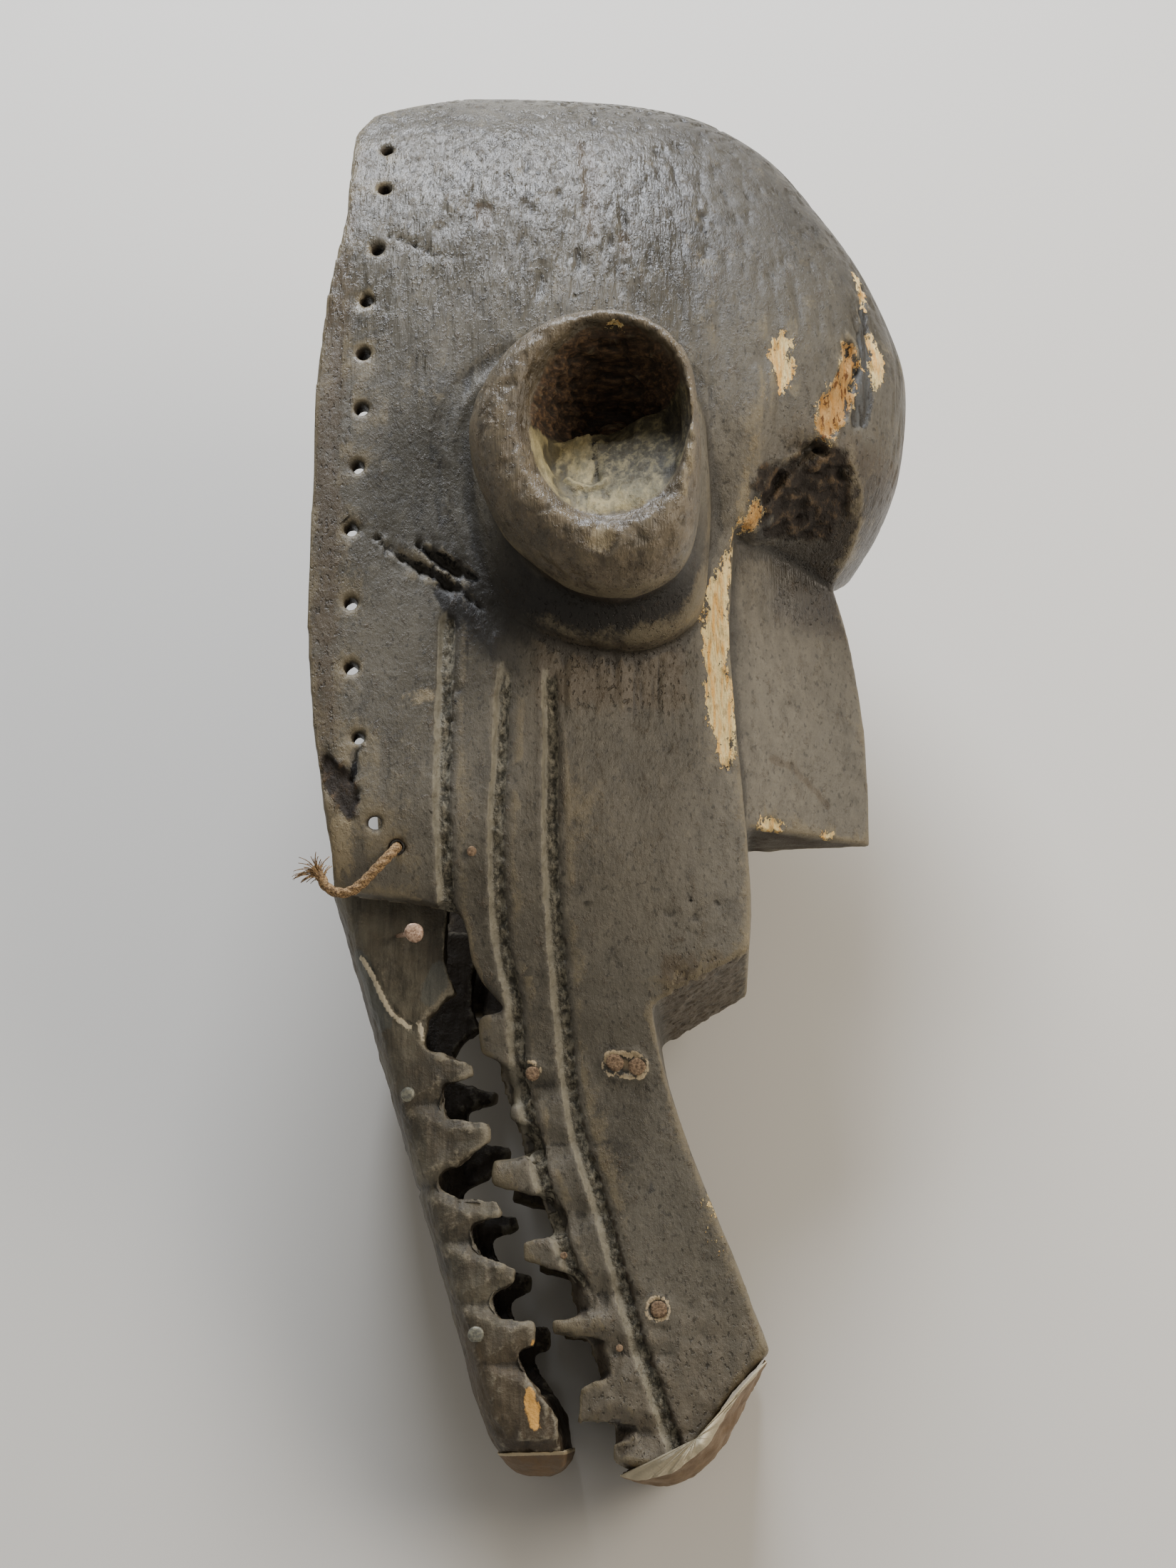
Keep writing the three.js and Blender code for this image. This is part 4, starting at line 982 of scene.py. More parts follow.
def margin(points, *routes, out=12.0):
    """How deep inside marked patches each point lies, in millimetres. Outside it is below zero."""
    found = np.full(len(points), -out)
    for marks in routes:
        route = dense_route(marks)
        inside, far, which = nearest_on(points, route, out + route[:, 3].max())
        found[inside] = np.maximum(found[inside], route[which, 3] - far)
    return found


# Grooves: an even slope on the side towards the back, then a rough floor, then a steep side
GROOVE_DEPTH = 3.0
GROOVE_BACK = 4.0
GROOVE_FLOOR = (-0.4, 3.2)
GROOVE_FRONT = 4.3
GROOVE_REACH = 12.0
FAR_FROM_GROOVE = 20.0


def groove_field(points, side):
    """How deep each point lies in a groove, from 0 to 1, and its place across it, from back to front."""
    points = points * [1, 1, side]
    depth = np.zeros(len(points))
    place = np.full(len(points), FAR_FROM_GROOVE)
    for route in GROOVES:
        on, normal = skin_points(curve_points(route, 140))
        across = units(np.cross(np.gradient(on, axis=0), normal))
        across *= np.sign(across[:, :1])
        strength = smoothstep(np.linspace(0, 1, len(on)), 0, 0.06)
        inside, far, which = nearest_on(points, on, GROOVE_REACH)
        local = points[inside]
        s = np.einsum("ij,ij->i", local - on[which], across[which])
        s = s + 0.5 * noise(local / [4, 7, 4], 31) + 0.35 * noise(local / 1.9, 32)
        s = np.where(far < GROOVE_REACH - 0.5, s, FAR_FROM_GROOVE)
        down = np.clip((s + GROOVE_BACK) / (GROOVE_BACK + GROOVE_FLOOR[0]), 0, 1)
        up = np.clip((GROOVE_FRONT - s) / (GROOVE_FRONT - GROOVE_FLOOR[1]), 0, 1)
        cut = np.minimum(down * (2 - down), up) * strength[which]
        nearer = cut > depth[inside]
        depth[inside] = np.where(nearer, cut, depth[inside])
        nearer = np.abs(s) < np.abs(place[inside])
        place[inside] = np.where(nearer, s, place[inside])
    return depth, place


def outward_share(points, normals):
    """1 on the outside of the mask body, 0 inside its hollow."""
    middle = np.stack([np.full(len(points), 70.0), np.clip(points[:, 1], 130, 600), np.zeros(len(points))], 1)
    away = points - middle
    away /= np.maximum(np.linalg.norm(away, axis=1, keepdims=True), 1)
    return smoothstep(np.einsum("ij,ij->i", away, normals), -0.15, 0.2)


def pit_share(points):
    """1 inside a socket's pit."""
    u = ((points[:, 0] - PIT_EDGE[0]) / PIT_EDGE[2]) ** 2 + ((points[:, 1] - PIT_EDGE[1]) / PIT_EDGE[3]) ** 2
    return smoothstep(1.15 - u, 0, 0.25) * smoothstep(np.abs(points[:, 2]), 85, 92) * (np.abs(points[:, 2]) < 158.5)


def foot_distance(points):
    """How far a point lies outside the socket's foot, seen from the side."""
    foot = curve_points(SOCKET_FOOT, 140, True)
    route = np.concatenate([foot, np.zeros((len(foot), 2))], 1)
    inside, far, _ = nearest_on(points * [1, 1, 0], route, 24.0)
    found = np.full(len(points), 99.0)
    found[inside] = far
    return found


def rotten(points):
    """Where the near brow's underside has rotted away, from 0 to 1, with a ragged border."""
    middle, reach = ROTTEN_BROW
    away = (((points - middle) / reach) ** 2).sum(1)
    found = np.zeros(len(points))
    near = away < 1.6
    found[near] = smoothstep(1.0 - away[near] + 0.55 * fractal(points[near], (11, 14, 11), 3, 61), 0, 0.5)
    return found


def carve_body(skin, depth):
    """The carving that shows from close by: tool marks, grain, grooves, cracks and losses."""
    p, n = skin.points, skin.normals
    x, y, z = p.T
    high = np.abs(z)
    outer = outward_share(p, n)
    near = smoothstep(z, -10, 20)
    dome = smoothstep(y, 470, 540) * outer
    low = smoothstep(170 - y, 0, 90) * outer
    pit = pit_share(p)

    push = 0.8 * fractal(p, 75, 2, 1) * outer
    push += (0.55 * outer * (1 - 0.55 * dome) + 1.6 * (1 - outer)) * scoops(p, (17, 30, 17), 3)
    grain = smoothstep(fractal(p, (3.4, 60, 3.4), 2, 7), 0.1, 0.7)
    push -= depth * grain * outer * (0.12 + 0.5 * dome)
    checks = smoothstep(fractal(p, (4.2, 75, 4.2), 2, 9), 0.5, 0.8) * smoothstep(fractal(p, 60, 2, 10), -0.1, 0.4)
    push -= depth * 0.9 * checks * dome * window(x, 30, 60, 180, 230)
    push += depth * 0.55 * fractal(p, (5, 7, 5), 3, 11) * low
    chin = window(y, 240, 247, CHIN_TOP - 2, CHIN_TOP + 4) * smoothstep(x, 150, 156) * smoothstep(-n[:, 1], 0.5, 0.8)
    push += depth * 0.9 * fractal(p, (4, 4, 4), 3, 12) * chin

    upper = pit * smoothstep(y - shelf_line(x), -3, 5)
    pores = smoothstep(fractal(p, (3, 3, 9), 2, 14), 0.2, 0.6)
    push += depth * upper * (1.1 * fractal(p, (9, 2.6, 5), 2, 13) - 0.9 * pores)
    push += depth * (pit - upper) * 0.8 * fractal(p, (2.8, 22, 6), 2, 15)
    lip = smoothstep(high, 134, 150) * (1 - pit)
    push -= depth * lip * (0.9 * smoothstep(fractal(p, (5, 6, 5), 3, 17), 0.0, 0.5) - 0.25)
    band = window(foot_distance(p), 1, 4, 9, 12) * outer * (high > 70) * (high < 112)
    push -= depth * 0.9 * band * smoothstep(y + (150 - x), 470, 520)
    under = window(y, 374, 386, 408, 416) * window(x, 92, 104, 156, 168) * outer * (high > 60)
    push += depth * under * 1.1 * fractal(p, (3.4, 30, 9), 2, 16)
    mouth = smoothstep(upper_gum(y) + 10 - x, 0, 6) * smoothstep(250 - y, 0, 6)
    push += depth * mouth * 1.5 * scoops(p, (8, 9, 9), 21)
    push -= 0.7 * facets(p, UPPER_TEETH, upper_gum(y) + 6 - x) * (y < 250) * outer

    temple = (p - TEMPLE_HOLLOW[0]) / TEMPLE_HOLLOW[1]
    push -= 3.0 * np.clip(1 - (temple ** 2).sum(1), 0, 1) ** 1.5 * outer
    push += 1.2 * smoothstep(margin(p, TEMPLE_RIDGE), -9, 0) * outer

    for side in (1, -1):
        cut, place = groove_field(p, side)
        inside = cut > 0.02
        rough = np.zeros(len(p))
        rough[inside] = fractal(p[inside], 3.0, 2, 33)
        on_floor = smoothstep(place, GROOVE_FLOOR[0] - 1.5, GROOVE_FLOOR[0] + 0.5)
        edge = np.exp(-((place + GROOVE_BACK + 0.9) / 1.1) ** 2)
        push += outer * (-GROOVE_DEPTH * cut + 1.1 * rough * cut * on_floor + 0.5 * edge)

    jag = np.zeros(len(p))
    close = near > 0.5
    jag[close] = fractal(p[close], (3.5, 7, 3.5), 3, 41)
    fibre = np.zeros(len(p))
    fibre[close] = fractal(p[close], (2.6, 16, 2.6), 2, 42)
    for routes, gone in BROKEN:
        torn = smoothstep(margin(p, *routes) + 1.8 * jag, -0.4, 1.6)
        push -= torn * (gone * (0.8 + 0.35 * fibre))
    push -= 0.9 * smoothstep(margin(p, *DOME_SCARS) + 3 * fibre, -0.5, 3)
    push -= 9.0 * smoothstep(margin(p, BROW_HOLE), 0, 3)
    push -= 4.0 * smoothstep(margin(p, BROW_CREVICE) + jag, -1, 5)
    rot = rotten(p) * outer
    holes = smoothstep(fractal(p, (13, 9, 13), 2, 62), 0.1, 0.6)
    push -= rot * (1.2 + 2.6 * holes + 2.0 * fractal(p, (5, 8, 5), 3, 63))
    torn_brow = smoothstep(margin(p, RAW_BROW, ASH_BROW, BROW_CREVICE, out=16), -14, 0) * near
    push += 1.1 * torn_brow * fractal(p, (5, 9, 5), 3, 43)
    for crack in CUP_CRACKS + DOME_CHECKS + CHEEK_CHIPS + [RIM_FISSURE, PIT_SPLIT]:
        m = margin(p, crack, out=8) + 0.8 * jag
        push -= np.clip(m, 0, 4) * 1.6
    around = smoothstep(margin(p, *CUP_CRACKS, out=14), -12, 0)
    push -= around * 0.6 * smoothstep(jag, -0.1, 0.5)
    for ring in TORN_RINGS:
        m = margin(p, ring) + 1.3 * jag
        push += 1.0 * np.exp(-((m + TORN_LIP * 0.5) / (TORN_LIP * 0.7)) ** 2) - 0.5 * smoothstep(m, 0.4, 1.5)
    push += 1.6 * smoothstep(margin(p, PIT_CHIP), -0.5, 1.2)
    skin.push(push)


def mark_body(skin):
    """Where the wood is worn, raw, dirty or polished, and where light and shade are painted, for its colours."""
    p = skin.points
    x, y, z = p.T
    high = np.abs(z)
    outer = outward_share(p, skin.normals)
    pit = pit_share(p)
    lip = np.clip(smoothstep(high, 136, 152) * (1 - pit), 0, 1)
    ball = smoothstep(x, 196, 216) * window(y, 436, 450, 500, 540) * outer
    skin.mark("stands_out", np.clip(skin.bulge(max(4, round(30 / BODY_GRAIN ** 2))), -2, 2))
    (cut, place), (cut_far, place_far) = (groove_field(p, side) for side in (1, -1))
    skin.mark("groove", np.maximum(cut, cut_far) * outer)
    skin.mark("groove_place", np.where(z > 0, place, place_far))
    skin.mark("lip", lip)
    for name, routes in MARKED.items():
        skin.mark(name, margin(p, *routes))
    skin.mark("torn_ring", np.max([-np.abs(margin(p, ring) + TORN_LIP * 0.4) for ring in TORN_RINGS], axis=0))
    skin.mark("rotten", np.maximum(rotten(p) * outer, smoothstep(margin(p, RIM_WOUND), -1, 2)))

    # Painted light on the nose, the temple and a band of the cheek, and a lighter tone on the muzzle's lower part and
    # the teeth.
    dusty = window(x, 150, 205, 212, 252) * window(y, 325, 345, 505, 565) * outer
    dusty = np.maximum(dusty, 0.35 * window(y, 250, 300, 440, 500) * smoothstep(x, 60, 100) * outer)
    dusty = dusty + 0.85 * smoothstep(165 - y, 0, 80) * outer
    teeth = smoothstep(upper_gum(y) + 8 - x, 0, 8) * smoothstep(250 - y, 0, 6)
    skin.mark("dusty", np.clip(np.maximum(dusty, teeth), 0, 1))

    above = smoothstep(y - shelf_line(x), -6, 6)
    # The pit's upper wall, above its shelf, is marked for painted shade.
    skin.mark("shaded_pit_top", pit * above)
    skin.mark("pit_low", pit * (1 - above))
    skin.mark("pit_shade", smoothstep(x + 0.25 * (y - 480), 122, 134) * smoothstep(y, 458, 478))
    polish = smoothstep(y, 500, 620) * smoothstep(215 - x, 0, 80)
    skin.mark("polish", np.clip(np.max([polish * outer, lip, 0.8 * ball], axis=0), 0, 1))

    rim = smoothstep(14 - x, 0, 14) * smoothstep(y, 280, 300)
    under = window(y, 375, 392, 428, 440) * window(x, 86, 104, 160, 174)
    chin = window(y, 238, 246, CHIN_TOP - 5, CHIN_TOP + 3) * smoothstep(x, 148, 156)
    brow = 1.2 * smoothstep(x, 200, 222) * window(y, 436, 450, 500, 560)
    end = smoothstep(150 - y, 0, 90)
    brown = np.max([0.75 * rim, under, 0.9 * chin, brow, 0.75 * end, 0.5 * (1 - outer)], axis=0)
    skin.mark("brown", np.clip(brown, 0, 1))

    # Painted shade: darker on the socket's wall below its lip, in the crease under the brow, on the dome's far part
    # and under the brow's ball.
    wall = window(high, 88, 98, 131, 139) * smoothstep(490 - y, 0, 60) * (1 - pit) * (foot_distance(p) < 22)
    shade = 0.42 * smoothstep(x, 110, 175) * smoothstep(y, 560, 630) * outer
    crease = 1 - (((p - BROW_CREASE_SHADE[0]) / BROW_CREASE_SHADE[1]) ** 2).sum(1)
    painted_shade = np.max([wall, 0.85 * smoothstep(crease, 0, 0.7), shade, 0.75 * ball], axis=0)
    skin.mark("painted_shade", np.clip(painted_shade, 0, 1))
    skin.mark("inside", 1 - outer)


FACET_DEPTH, FACET_HALF, FACET_LENGTH = 4.2, 11.0, 24.0


def facets(points, teeth, inward):
    """The hollows that a knife left between neighbouring teeth, deepest at the gum's edge. inward is 0 there."""
    cut = np.zeros(len(points))
    down = np.clip((inward + FACET_LENGTH) / FACET_LENGTH, 0, 1)
    for upper, lower in zip(teeth[:-1], teeth[1:]):
        middle = (upper[1] + lower[0]) / 2 if upper[1] > lower[0] else (upper[0] + lower[1]) / 2
        across = np.abs(points[:, 1] - middle) / FACET_HALF
        cut = np.maximum(cut, FACET_DEPTH * np.clip(down - across, 0, 1))
    return cut


def carve_jaw(skin, depth):
    """The jaw's tool marks, grain, teeth and the two thin lines left on its cheek."""
    p = skin.points
    beyond_edge = p[:, 0] - jaw_edge_x(p[:, 1])
    push = 0.6 * fractal(p, 45, 2, 51)
    push += 0.75 * scoops(p, (12, 17, 12), 52)
    push += depth * smoothstep(beyond_edge, -6, 2) * 1.6 * scoops(p, (7, 8, 8), 53)
    push -= facets(p, LOWER_TEETH, beyond_edge)
    push += depth * 0.4 * fractal(p, (4.5, 9, 4.5), 3, 54)
    push -= depth * 0.35 * smoothstep(fractal(p, (2.8, 34, 2.8), 2, 55), 0.15, 0.7)
    for line in JAW_LINES:
        beside = [(x + 1.8, y, z, half) for x, y, z, half in line]
        push += 1.0 * smoothstep(margin(p, line, out=5), -0.6, 0.5)
        push -= 0.7 * smoothstep(margin(p, beside, out=5), -1, 0.5)
    skin.push(push)


def mark_jaw(skin):
    """Where the jaw's wood is worn, raw or dirty, and where its inside takes painted shade, for its colours."""
    p = skin.points
    x, y, z = p.T
    skin.mark("stands_out", np.clip(skin.bulge(max(4, round(20 / JAW_GRAIN ** 2))), -2, 2))
    skin.mark("raw", margin(p, *RAW_JAW_TEETH))
    skin.mark("pale", margin(p, *JAW_LINES, out=6))
    skin.mark("ash", margin(p, *JAW_ASH))
    skin.mark("inside", smoothstep(jaw_half(y) - 3 - np.abs(z), 0, 4) * smoothstep(x - jaw_bottom(y), 6, 12))
    skin.mark("brown", np.clip(smoothstep(120 - y, 0, 80) + 0.4, 0, 1))


# Colours and materials

def linear(hex_colour):
    """A colour written as sRGB hex, as linear red, green and blue."""
    parts = [int(hex_colour[i:i + 2], 16) / 255 for i in (1, 3, 5)]
    return [v / 12.92 if v <= 0.04045 else ((v + 0.055) / 1.055) ** 2.4 for v in parts]


# What the materials are made of: a node's type and settings, what its values fill, and its output.
# "sum" gives the first value plus the third times the second.
NODES = {
    "sum": ("ShaderNodeMath", {"operation": "MULTIPLY_ADD"}, (2, 0, 1), 0),
    "times": ("ShaderNodeMath", {"operation": "MULTIPLY"}, (0, 1), 0),
    "step": ("ShaderNodeMapRange", {"interpolation_type": "SMOOTHSTEP"}, (0, 1, 2, 3, 4), 0),
    "blend": ("ShaderNodeMix", {"data_type": "RGBA"}, (0, 6, 7), 2),
    "mark": ("ShaderNodeAttribute", {}, ("attribute_name",), "Fac"),
    "where": ("ShaderNodeTexCoord", {}, (), "Object"),
    "moved": ("ShaderNodeMapping", {"vector_type": "POINT"}, (0, 3, 1, 2), 0),
    "noise": ("ShaderNodeTexNoise", {}, ("Vector", "Scale", "Detail", "Roughness"), 0),
    "bump": ("ShaderNodeBump", {}, ("Height", "Strength", "Distance", "Normal"), 0),
    "shader": ("ShaderNodeBsdfPrincipled", {}, ("Base Color", "Roughness", "Metallic", "Normal"), 0),
    "output": ("ShaderNodeOutputMaterial", {}, (0,), None),
}


class Finish:
    """A material, its nodes and its colour so far."""

    def __init__(self, name, colours):
        self.colours = colours
        self.material = bpy.data.materials.new(name)
        self.material.use_nodes = True
        self.tree = self.material.node_tree
        self.tree.nodes.clear()

    def add(self, kind, *values):
        """Adds a node and gives its output. A value is a number, a colour's name or another node's output."""
        node_type, settings, targets, output = NODES[kind]
        made = self.tree.nodes.new(node_type)
        for key, value in settings.items():
            setattr(made, key, value)
        for target, value in zip(targets, values):
            if target == "attribute_name":
                made.attribute_name = value
            elif isinstance(value, bpy.types.NodeSocket):
                self.tree.links.new(value, made.inputs[target])
            else:
                is_colour = isinstance(value, str)
                made.inputs[target].default_value = (*self.colours[value], 1) if is_colour else value
        return None if output is None else made.outputs[output]

    def coat(self, tint, mask, share=None):
        """Lays a colour over the one so far, where the mask is and by so much of it."""
        if share is not None:
            mask = self.add("times", mask, share)
        self.colour = self.add("blend", mask, self.colour, tint)

    def place(self):
        """Where a point lies in the mask's frame, in millimetres, whatever turns the mask."""
        turn = Matrix(ROW_TURN.T.tolist())
        shift = -(ROW_TURN.T @ ROW_SHIFT)
        return self.add("moved", self.add("where"), (1000, 1000, 1000), shift.tolist(), turn.to_euler())

    def pattern(self, place, size, detail=3.0, roughness=0.55):
        """A pattern whose features are size millimetres along each axis, from 0 to 1."""
        size = np.broadcast_to(np.asarray(size, float), 3)
        return self.add("noise", self.add("moved", place, (1 / size).tolist()), 1.0, detail, roughness)

    def relief(self, *layers):
        """Layers of bump over each other, each a height and how many millimetres it is."""
        normal = []
        for height, reach in layers:
            normal = [self.add("bump", height, 1.0, reach / 1000, *normal)]
        return normal[0]

    def finish(self, roughness, *normal, metallic=0.0):
        """Ends the material in its shader."""
        self.add("output", self.add("shader", self.colour, roughness, metallic, *normal))
        return self.material


def smoked_hardwood(colours):
    """Carved hardwood, handled and smoked for years: a thin dark skin, greyer where light skims the grain,
    browner in its hollows, rubbed paler on edges, and raw cream wood where it has broken. Painted shade
    darkens it below the sockets, in creases, cracks and hollows, inside the mask and on the pit's upper wall;
    painted light lightens the nose, the temple and the cheek, and a painted highlight runs along the temple ridge."""
    f = Finish("smoked_hardwood", colours)
    add, place = f.add, f.place()
    fine_grain = f.pattern(place, (1.1, 26, 1.1), 4)
    grain = f.pattern(place, (2.6, 55, 2.6), 4)
    clouds = f.pattern(place, (45, 70, 45), 4)
    grime = f.pattern(place, (6, 9, 6), 5, 0.65)
    specks = f.pattern(place, 1.6, 3, 0.6)
    scratches = f.pattern(place, (14, 0.8, 14), 2)

    pits = f.pattern(place, (1.9, 3.2, 1.9), 2, 0.5)
    jag = add("sum", f.pattern(place, (5, 9, 5), 5, 0.7), f.pattern(place, (1.8, 2.8, 1.8), 3, 0.7), 0.5)
    jag = add("step", jag, 0.2, 1.3)

    f.colour = add("blend", add("step", clouds, 0.35, 0.65), "dark", "grey")
    polish = add("mark", "polish")
    f.coat("deep", add("step", fine_grain, 0.45, 0.7), add("step", polish, 0, 1, 0.05, 0.45))
    f.coat("deep", add("step", f.pattern(place, (16, 24, 16), 6, 0.75), 0.5, 0.68), 0.5)
    brown = add("sum", add("mark", "brown"), add("step", grime, 0.3, 0.75, -0.5, 0.5), 0.7)
    f.coat("brown", add("step", brown, 0.2, 0.9), 0.85)
    f.coat("dust", add("step", grime, 0.5, 0.75), 0.5)
    f.coat("dust", add("step", specks, 0.6, 0.75), 0.4)
    # Painted light on the nose, temple and cheek, and a lighter tone on the lower muzzle and the teeth.
    f.coat("dusty", add("mark", "dusty"), add("step", grime, 0.3, 0.65, 0.35, 0.8))
    f.coat("deep", add("step", pits, 0.42, 0.3), 0.55)
    # Painted shade under the sockets, in the brow's crease, on the dome's far part and under the brow's ball.
    f.coat("soot", add("mark", "painted_shade"), 0.92)

    inside = add("mark", "inside")
    # Painted shade: the inside of the mask is darkened.
    f.coat("hollow", inside, 0.7)
    # The pit's upper wall: fibrous end grain, darkened as painted shade.
    shaded_pit_top = add("step", add("sum", add("mark", "shaded_pit_top"), jag, 0.5), 0.55, 0.8)
    fibre = add("step", f.pattern(place, (9, 1.6, 3), 5, 0.7), 0.42, 0.7)
    f.coat(add("blend", fibre, "shaded_end_grain", "shaded_end_fibre"), shaded_pit_top)
    pit_low = add("step", add("sum", add("mark", "pit_low"), jag, 0.5), 0.5, 0.75)
    bowl = add("blend", add("step", f.pattern(place, (5, 16, 6), 6, 0.7), 0.36, 0.62), "lichen", "pit_floor")
    shaded = add("times", add("mark", "pit_shade"), add("step", jag, 0.3, 0.6, 0.45, 1.0))
    bowl = add("blend", shaded, bowl, "pit_shade")
    f.coat(bowl, pit_low, 0.92)

    stands_out = add("mark", "stands_out")
    # Painted shade and dirt: darker where the surface sinks below its surroundings.
    hollow_shade_and_dirt = add("step", add("sum", stands_out, specks, 0.5), 0.1, -0.5)
    f.coat("deep", hollow_shade_and_dirt, 0.65)
    rubbed = add("sum", stands_out, add("sum", grime, specks, 0.9), 1.5)
    across = add("mark", "groove_place")
    by_groove = add("step", across, 5.5, 9)
    worn = add("times", add("times", add("step", rubbed, 1.95, 2.9), by_groove), add("step", pit_low, 0, 1, 1, 0.1))
    f.coat("worn", worn, 0.7)

    groove = add("mark", "groove")
    ragged = add("sum", across, grime, 2.4)
    slope = add("times", add("step", ragged, -4.6, -2.6), add("step", ragged, 1.8, 0.4))
    slope = add("times", slope, add("step", groove, 0.02, 0.15))
    slope_colour = add("blend", add("step", grime, 0.35, 0.6), "groove_slope", "groove_edge")
    f.coat(slope_colour, slope, 0.75)
    floor = add("times", add("step", add("sum", across, specks, 2.5), -0.2, 1.8), add("step", groove, 0.25, 0.65))
    crumbs = f.pattern(place, (2.8, 4.2, 2.8), 6, 0.75)
    crust = add("blend", add("step", crumbs, 0.4, 0.62), "crust_dark", "crust")
    f.coat(crust, floor)

    mottle = add("times", add("mark", "lip"), add("step", f.pattern(place, (9, 9, 9), 6, 0.72), 0.42, 0.6))
    f.coat("brown", add("mark", "lip"), 0.45)
    f.coat("lip_dust", mottle, 0.6)
    scar = add("step", add("sum", add("mark", "scar"), f.pattern(place, (4, 12, 4), 4), 6), 2.2, 3.8)
    f.coat("brown", scar, 0.55)
    ash = add("step", add("sum", add("mark", "ash"), jag, 7), 2.8, 4.2)
    f.coat(add("blend", add("step", grain, 0.4, 0.6), "ash", "deep"), ash, 0.85)
    # Pale worn and chipped wood, and a painted highlight along the temple ridge.
    pale = add("step", add("sum", add("mark", "pale"), jag, 9), 4.0, 7.0)
    f.coat("pale", pale, 0.55)
    # Rotten wood; its dark is deepened as painted shade of the brow's underside.
    rotted = add("times", add("step", add("sum", add("mark", "rotten"), jag, 0.9), 0.45, 1.15), 0.9)
    rot_grain = add("sum", f.pattern(place, (5, 9, 5), 6, 0.75), stands_out, 0.1)
    rot_colour = add("blend", add("step", rot_grain, 0.5, 0.8), "rot_and_shade_dark", "rot_light")
    f.coat(rot_colour, rotted)
    raw = add("step", add("sum", add("mark", "raw"), jag, 15), 7.2, 7.7)
    rot = add("step", f.pattern(place, (2.2, 7, 2.2), 4, 0.65), 0.55, 0.63)
    fresh = add("blend", add("step", f.pattern(place, (2.4, 16, 2.4), 4), 0.4, 0.7), "raw", "raw_shade")
    orange = add("step", add("sum", add("mark", "orange"), jag, 8), 3.4, 5.0)
    fresh = add("blend", add("times", orange, 0.7), fresh, "orange")
    fresh = add("blend", add("times", rot, add("step", orange, 0, 1, 0.35, 0.9)), fresh, "rot")
    f.coat(fresh, raw)
    ring = add("step", add("sum", add("mark", "torn_ring"), jag, 3.2), 0.75, 1.05)
    f.coat("ring", ring, 0.85)
    within = add("step", add("mark", "torn_inside"), 0.5, 1.3)
    f.coat("rust_wood", within, 0.8)
    # Painted shade: cracks, checks and holes are painted near-black.
    crack = add("step", add("sum", add("mark", "crack"), jag, 4.5), 2.9, 3.9)
    f.coat("black", crack)

    rough = add("step", polish, 0, 1, 0.44, 0.31)
    rough = add("sum", rough, add("step", clouds, 0.3, 0.7, -0.5, 0.5), 0.1)
    rough = add("sum", rough, add("step", scratches, 0.3, 0.7, -0.5, 0.5), 0.08)
    for mask, more in (
        (floor, 0.4), (raw, 0.4), (rotted, 0.3), (pale, 0.1), (shaded_pit_top, 0.35), (pit_low, 0.2), (inside, 0.25),
        (crack, 0.4),
    ):
        rough = add("sum", rough, mask, more)
    leather = f.pattern(place, (3.4, 5.4, 3.4), 6, 0.72)
    return f.finish(rough, f.relief(
        (add("times", fine_grain, add("step", polish, 0, 1, 0.15, 1.0)), 0.55),
        (add("times", grime, add("step", polish, 0, 1, 1.0, 0.15)), 0.6),
        (add("times", grain, polish), 0.9),
        (add("times", leather, add("step", polish, 0, 1, 1.0, 0.12)), 0.7),
        (add("times", add("step", pits, 0.42, 0.3), add("sum", add("mark", "brown"), polish, -0.4)), -0.5),
        (add("times", crumbs, floor), 1.8),
        (add("times", f.pattern(place, (2.2, 3.6, 2.2), 5, 0.7), rotted), 2.0),
        (add("times", f.pattern(place, (1.2, 9, 1.2), 4, 0.65), raw), 1.6),
    ))


def jaw_hardwood(colours):
    """The jaw's hardwood, drier than the head: dull, brown and grey, with rubbed tooth tips, and darkened inside and
    in its hollows as painted shade.
    """
    f = Finish("jaw_hardwood", colours)
    add, place = f.add, f.place()
    grain = f.pattern(place, (2.2, 40, 2.2), 4)
    clouds = f.pattern(place, (22, 34, 22), 3)
    grime = f.pattern(place, 6, 5, 0.65)
    specks = f.pattern(place, 1.5, 3, 0.6)
    f.colour = add("blend", add("step", clouds, 0.35, 0.65), "dark", "jaw_grey")
    f.coat("jaw_brown", add("step", add("sum", add("mark", "brown"), grime, 0.8), 0.6, 1.2), 0.8)
    f.coat("deep", add("step", grain, 0.45, 0.68), 0.35)
    f.coat("deep", add("step", f.pattern(place, (14, 20, 14), 6, 0.75), 0.5, 0.68), 0.55)
    f.coat("dust", add("step", grime, 0.55, 0.78), 0.35)
    # Painted shade: the inside of the jaw is darkened.
    f.coat("hollow", add("mark", "inside"), 0.8)
    # Painted shade and dirt: darker where the surface sinks below its surroundings.
    f.coat("deep", add("step", add("sum", add("mark", "stands_out"), specks, 0.5), 0.1, -0.45), 0.6)
    worn = add("step", add("sum", add("mark", "stands_out"), add("sum", grime, specks, 0.8), 1.4), 1.6, 2.4)
    f.coat("jaw_worn", worn, 0.7)
    jag = f.pattern(place, (4, 7, 4), 5, 0.7)
    ash = add("step", add("sum", add("mark", "ash"), jag, 7), 2.8, 4.6)
    f.coat("jaw_ash", ash, 0.6)
    raw = add("step", add("sum", add("mark", "raw"), jag, 7), 3.0, 4.2)
    f.coat("raw_shade", raw, 0.85)
    line = add("step", add("mark", "pale"), -0.5, 0.1)
    f.coat("thread", line, 0.9)
    rough = add("sum", add("step", clouds, 0.3, 0.7, 0.52, 0.66), raw, 0.2)
    return f.finish(rough, f.relief((grain, 0.5), (grime, 0.5), (specks, 0.25)))


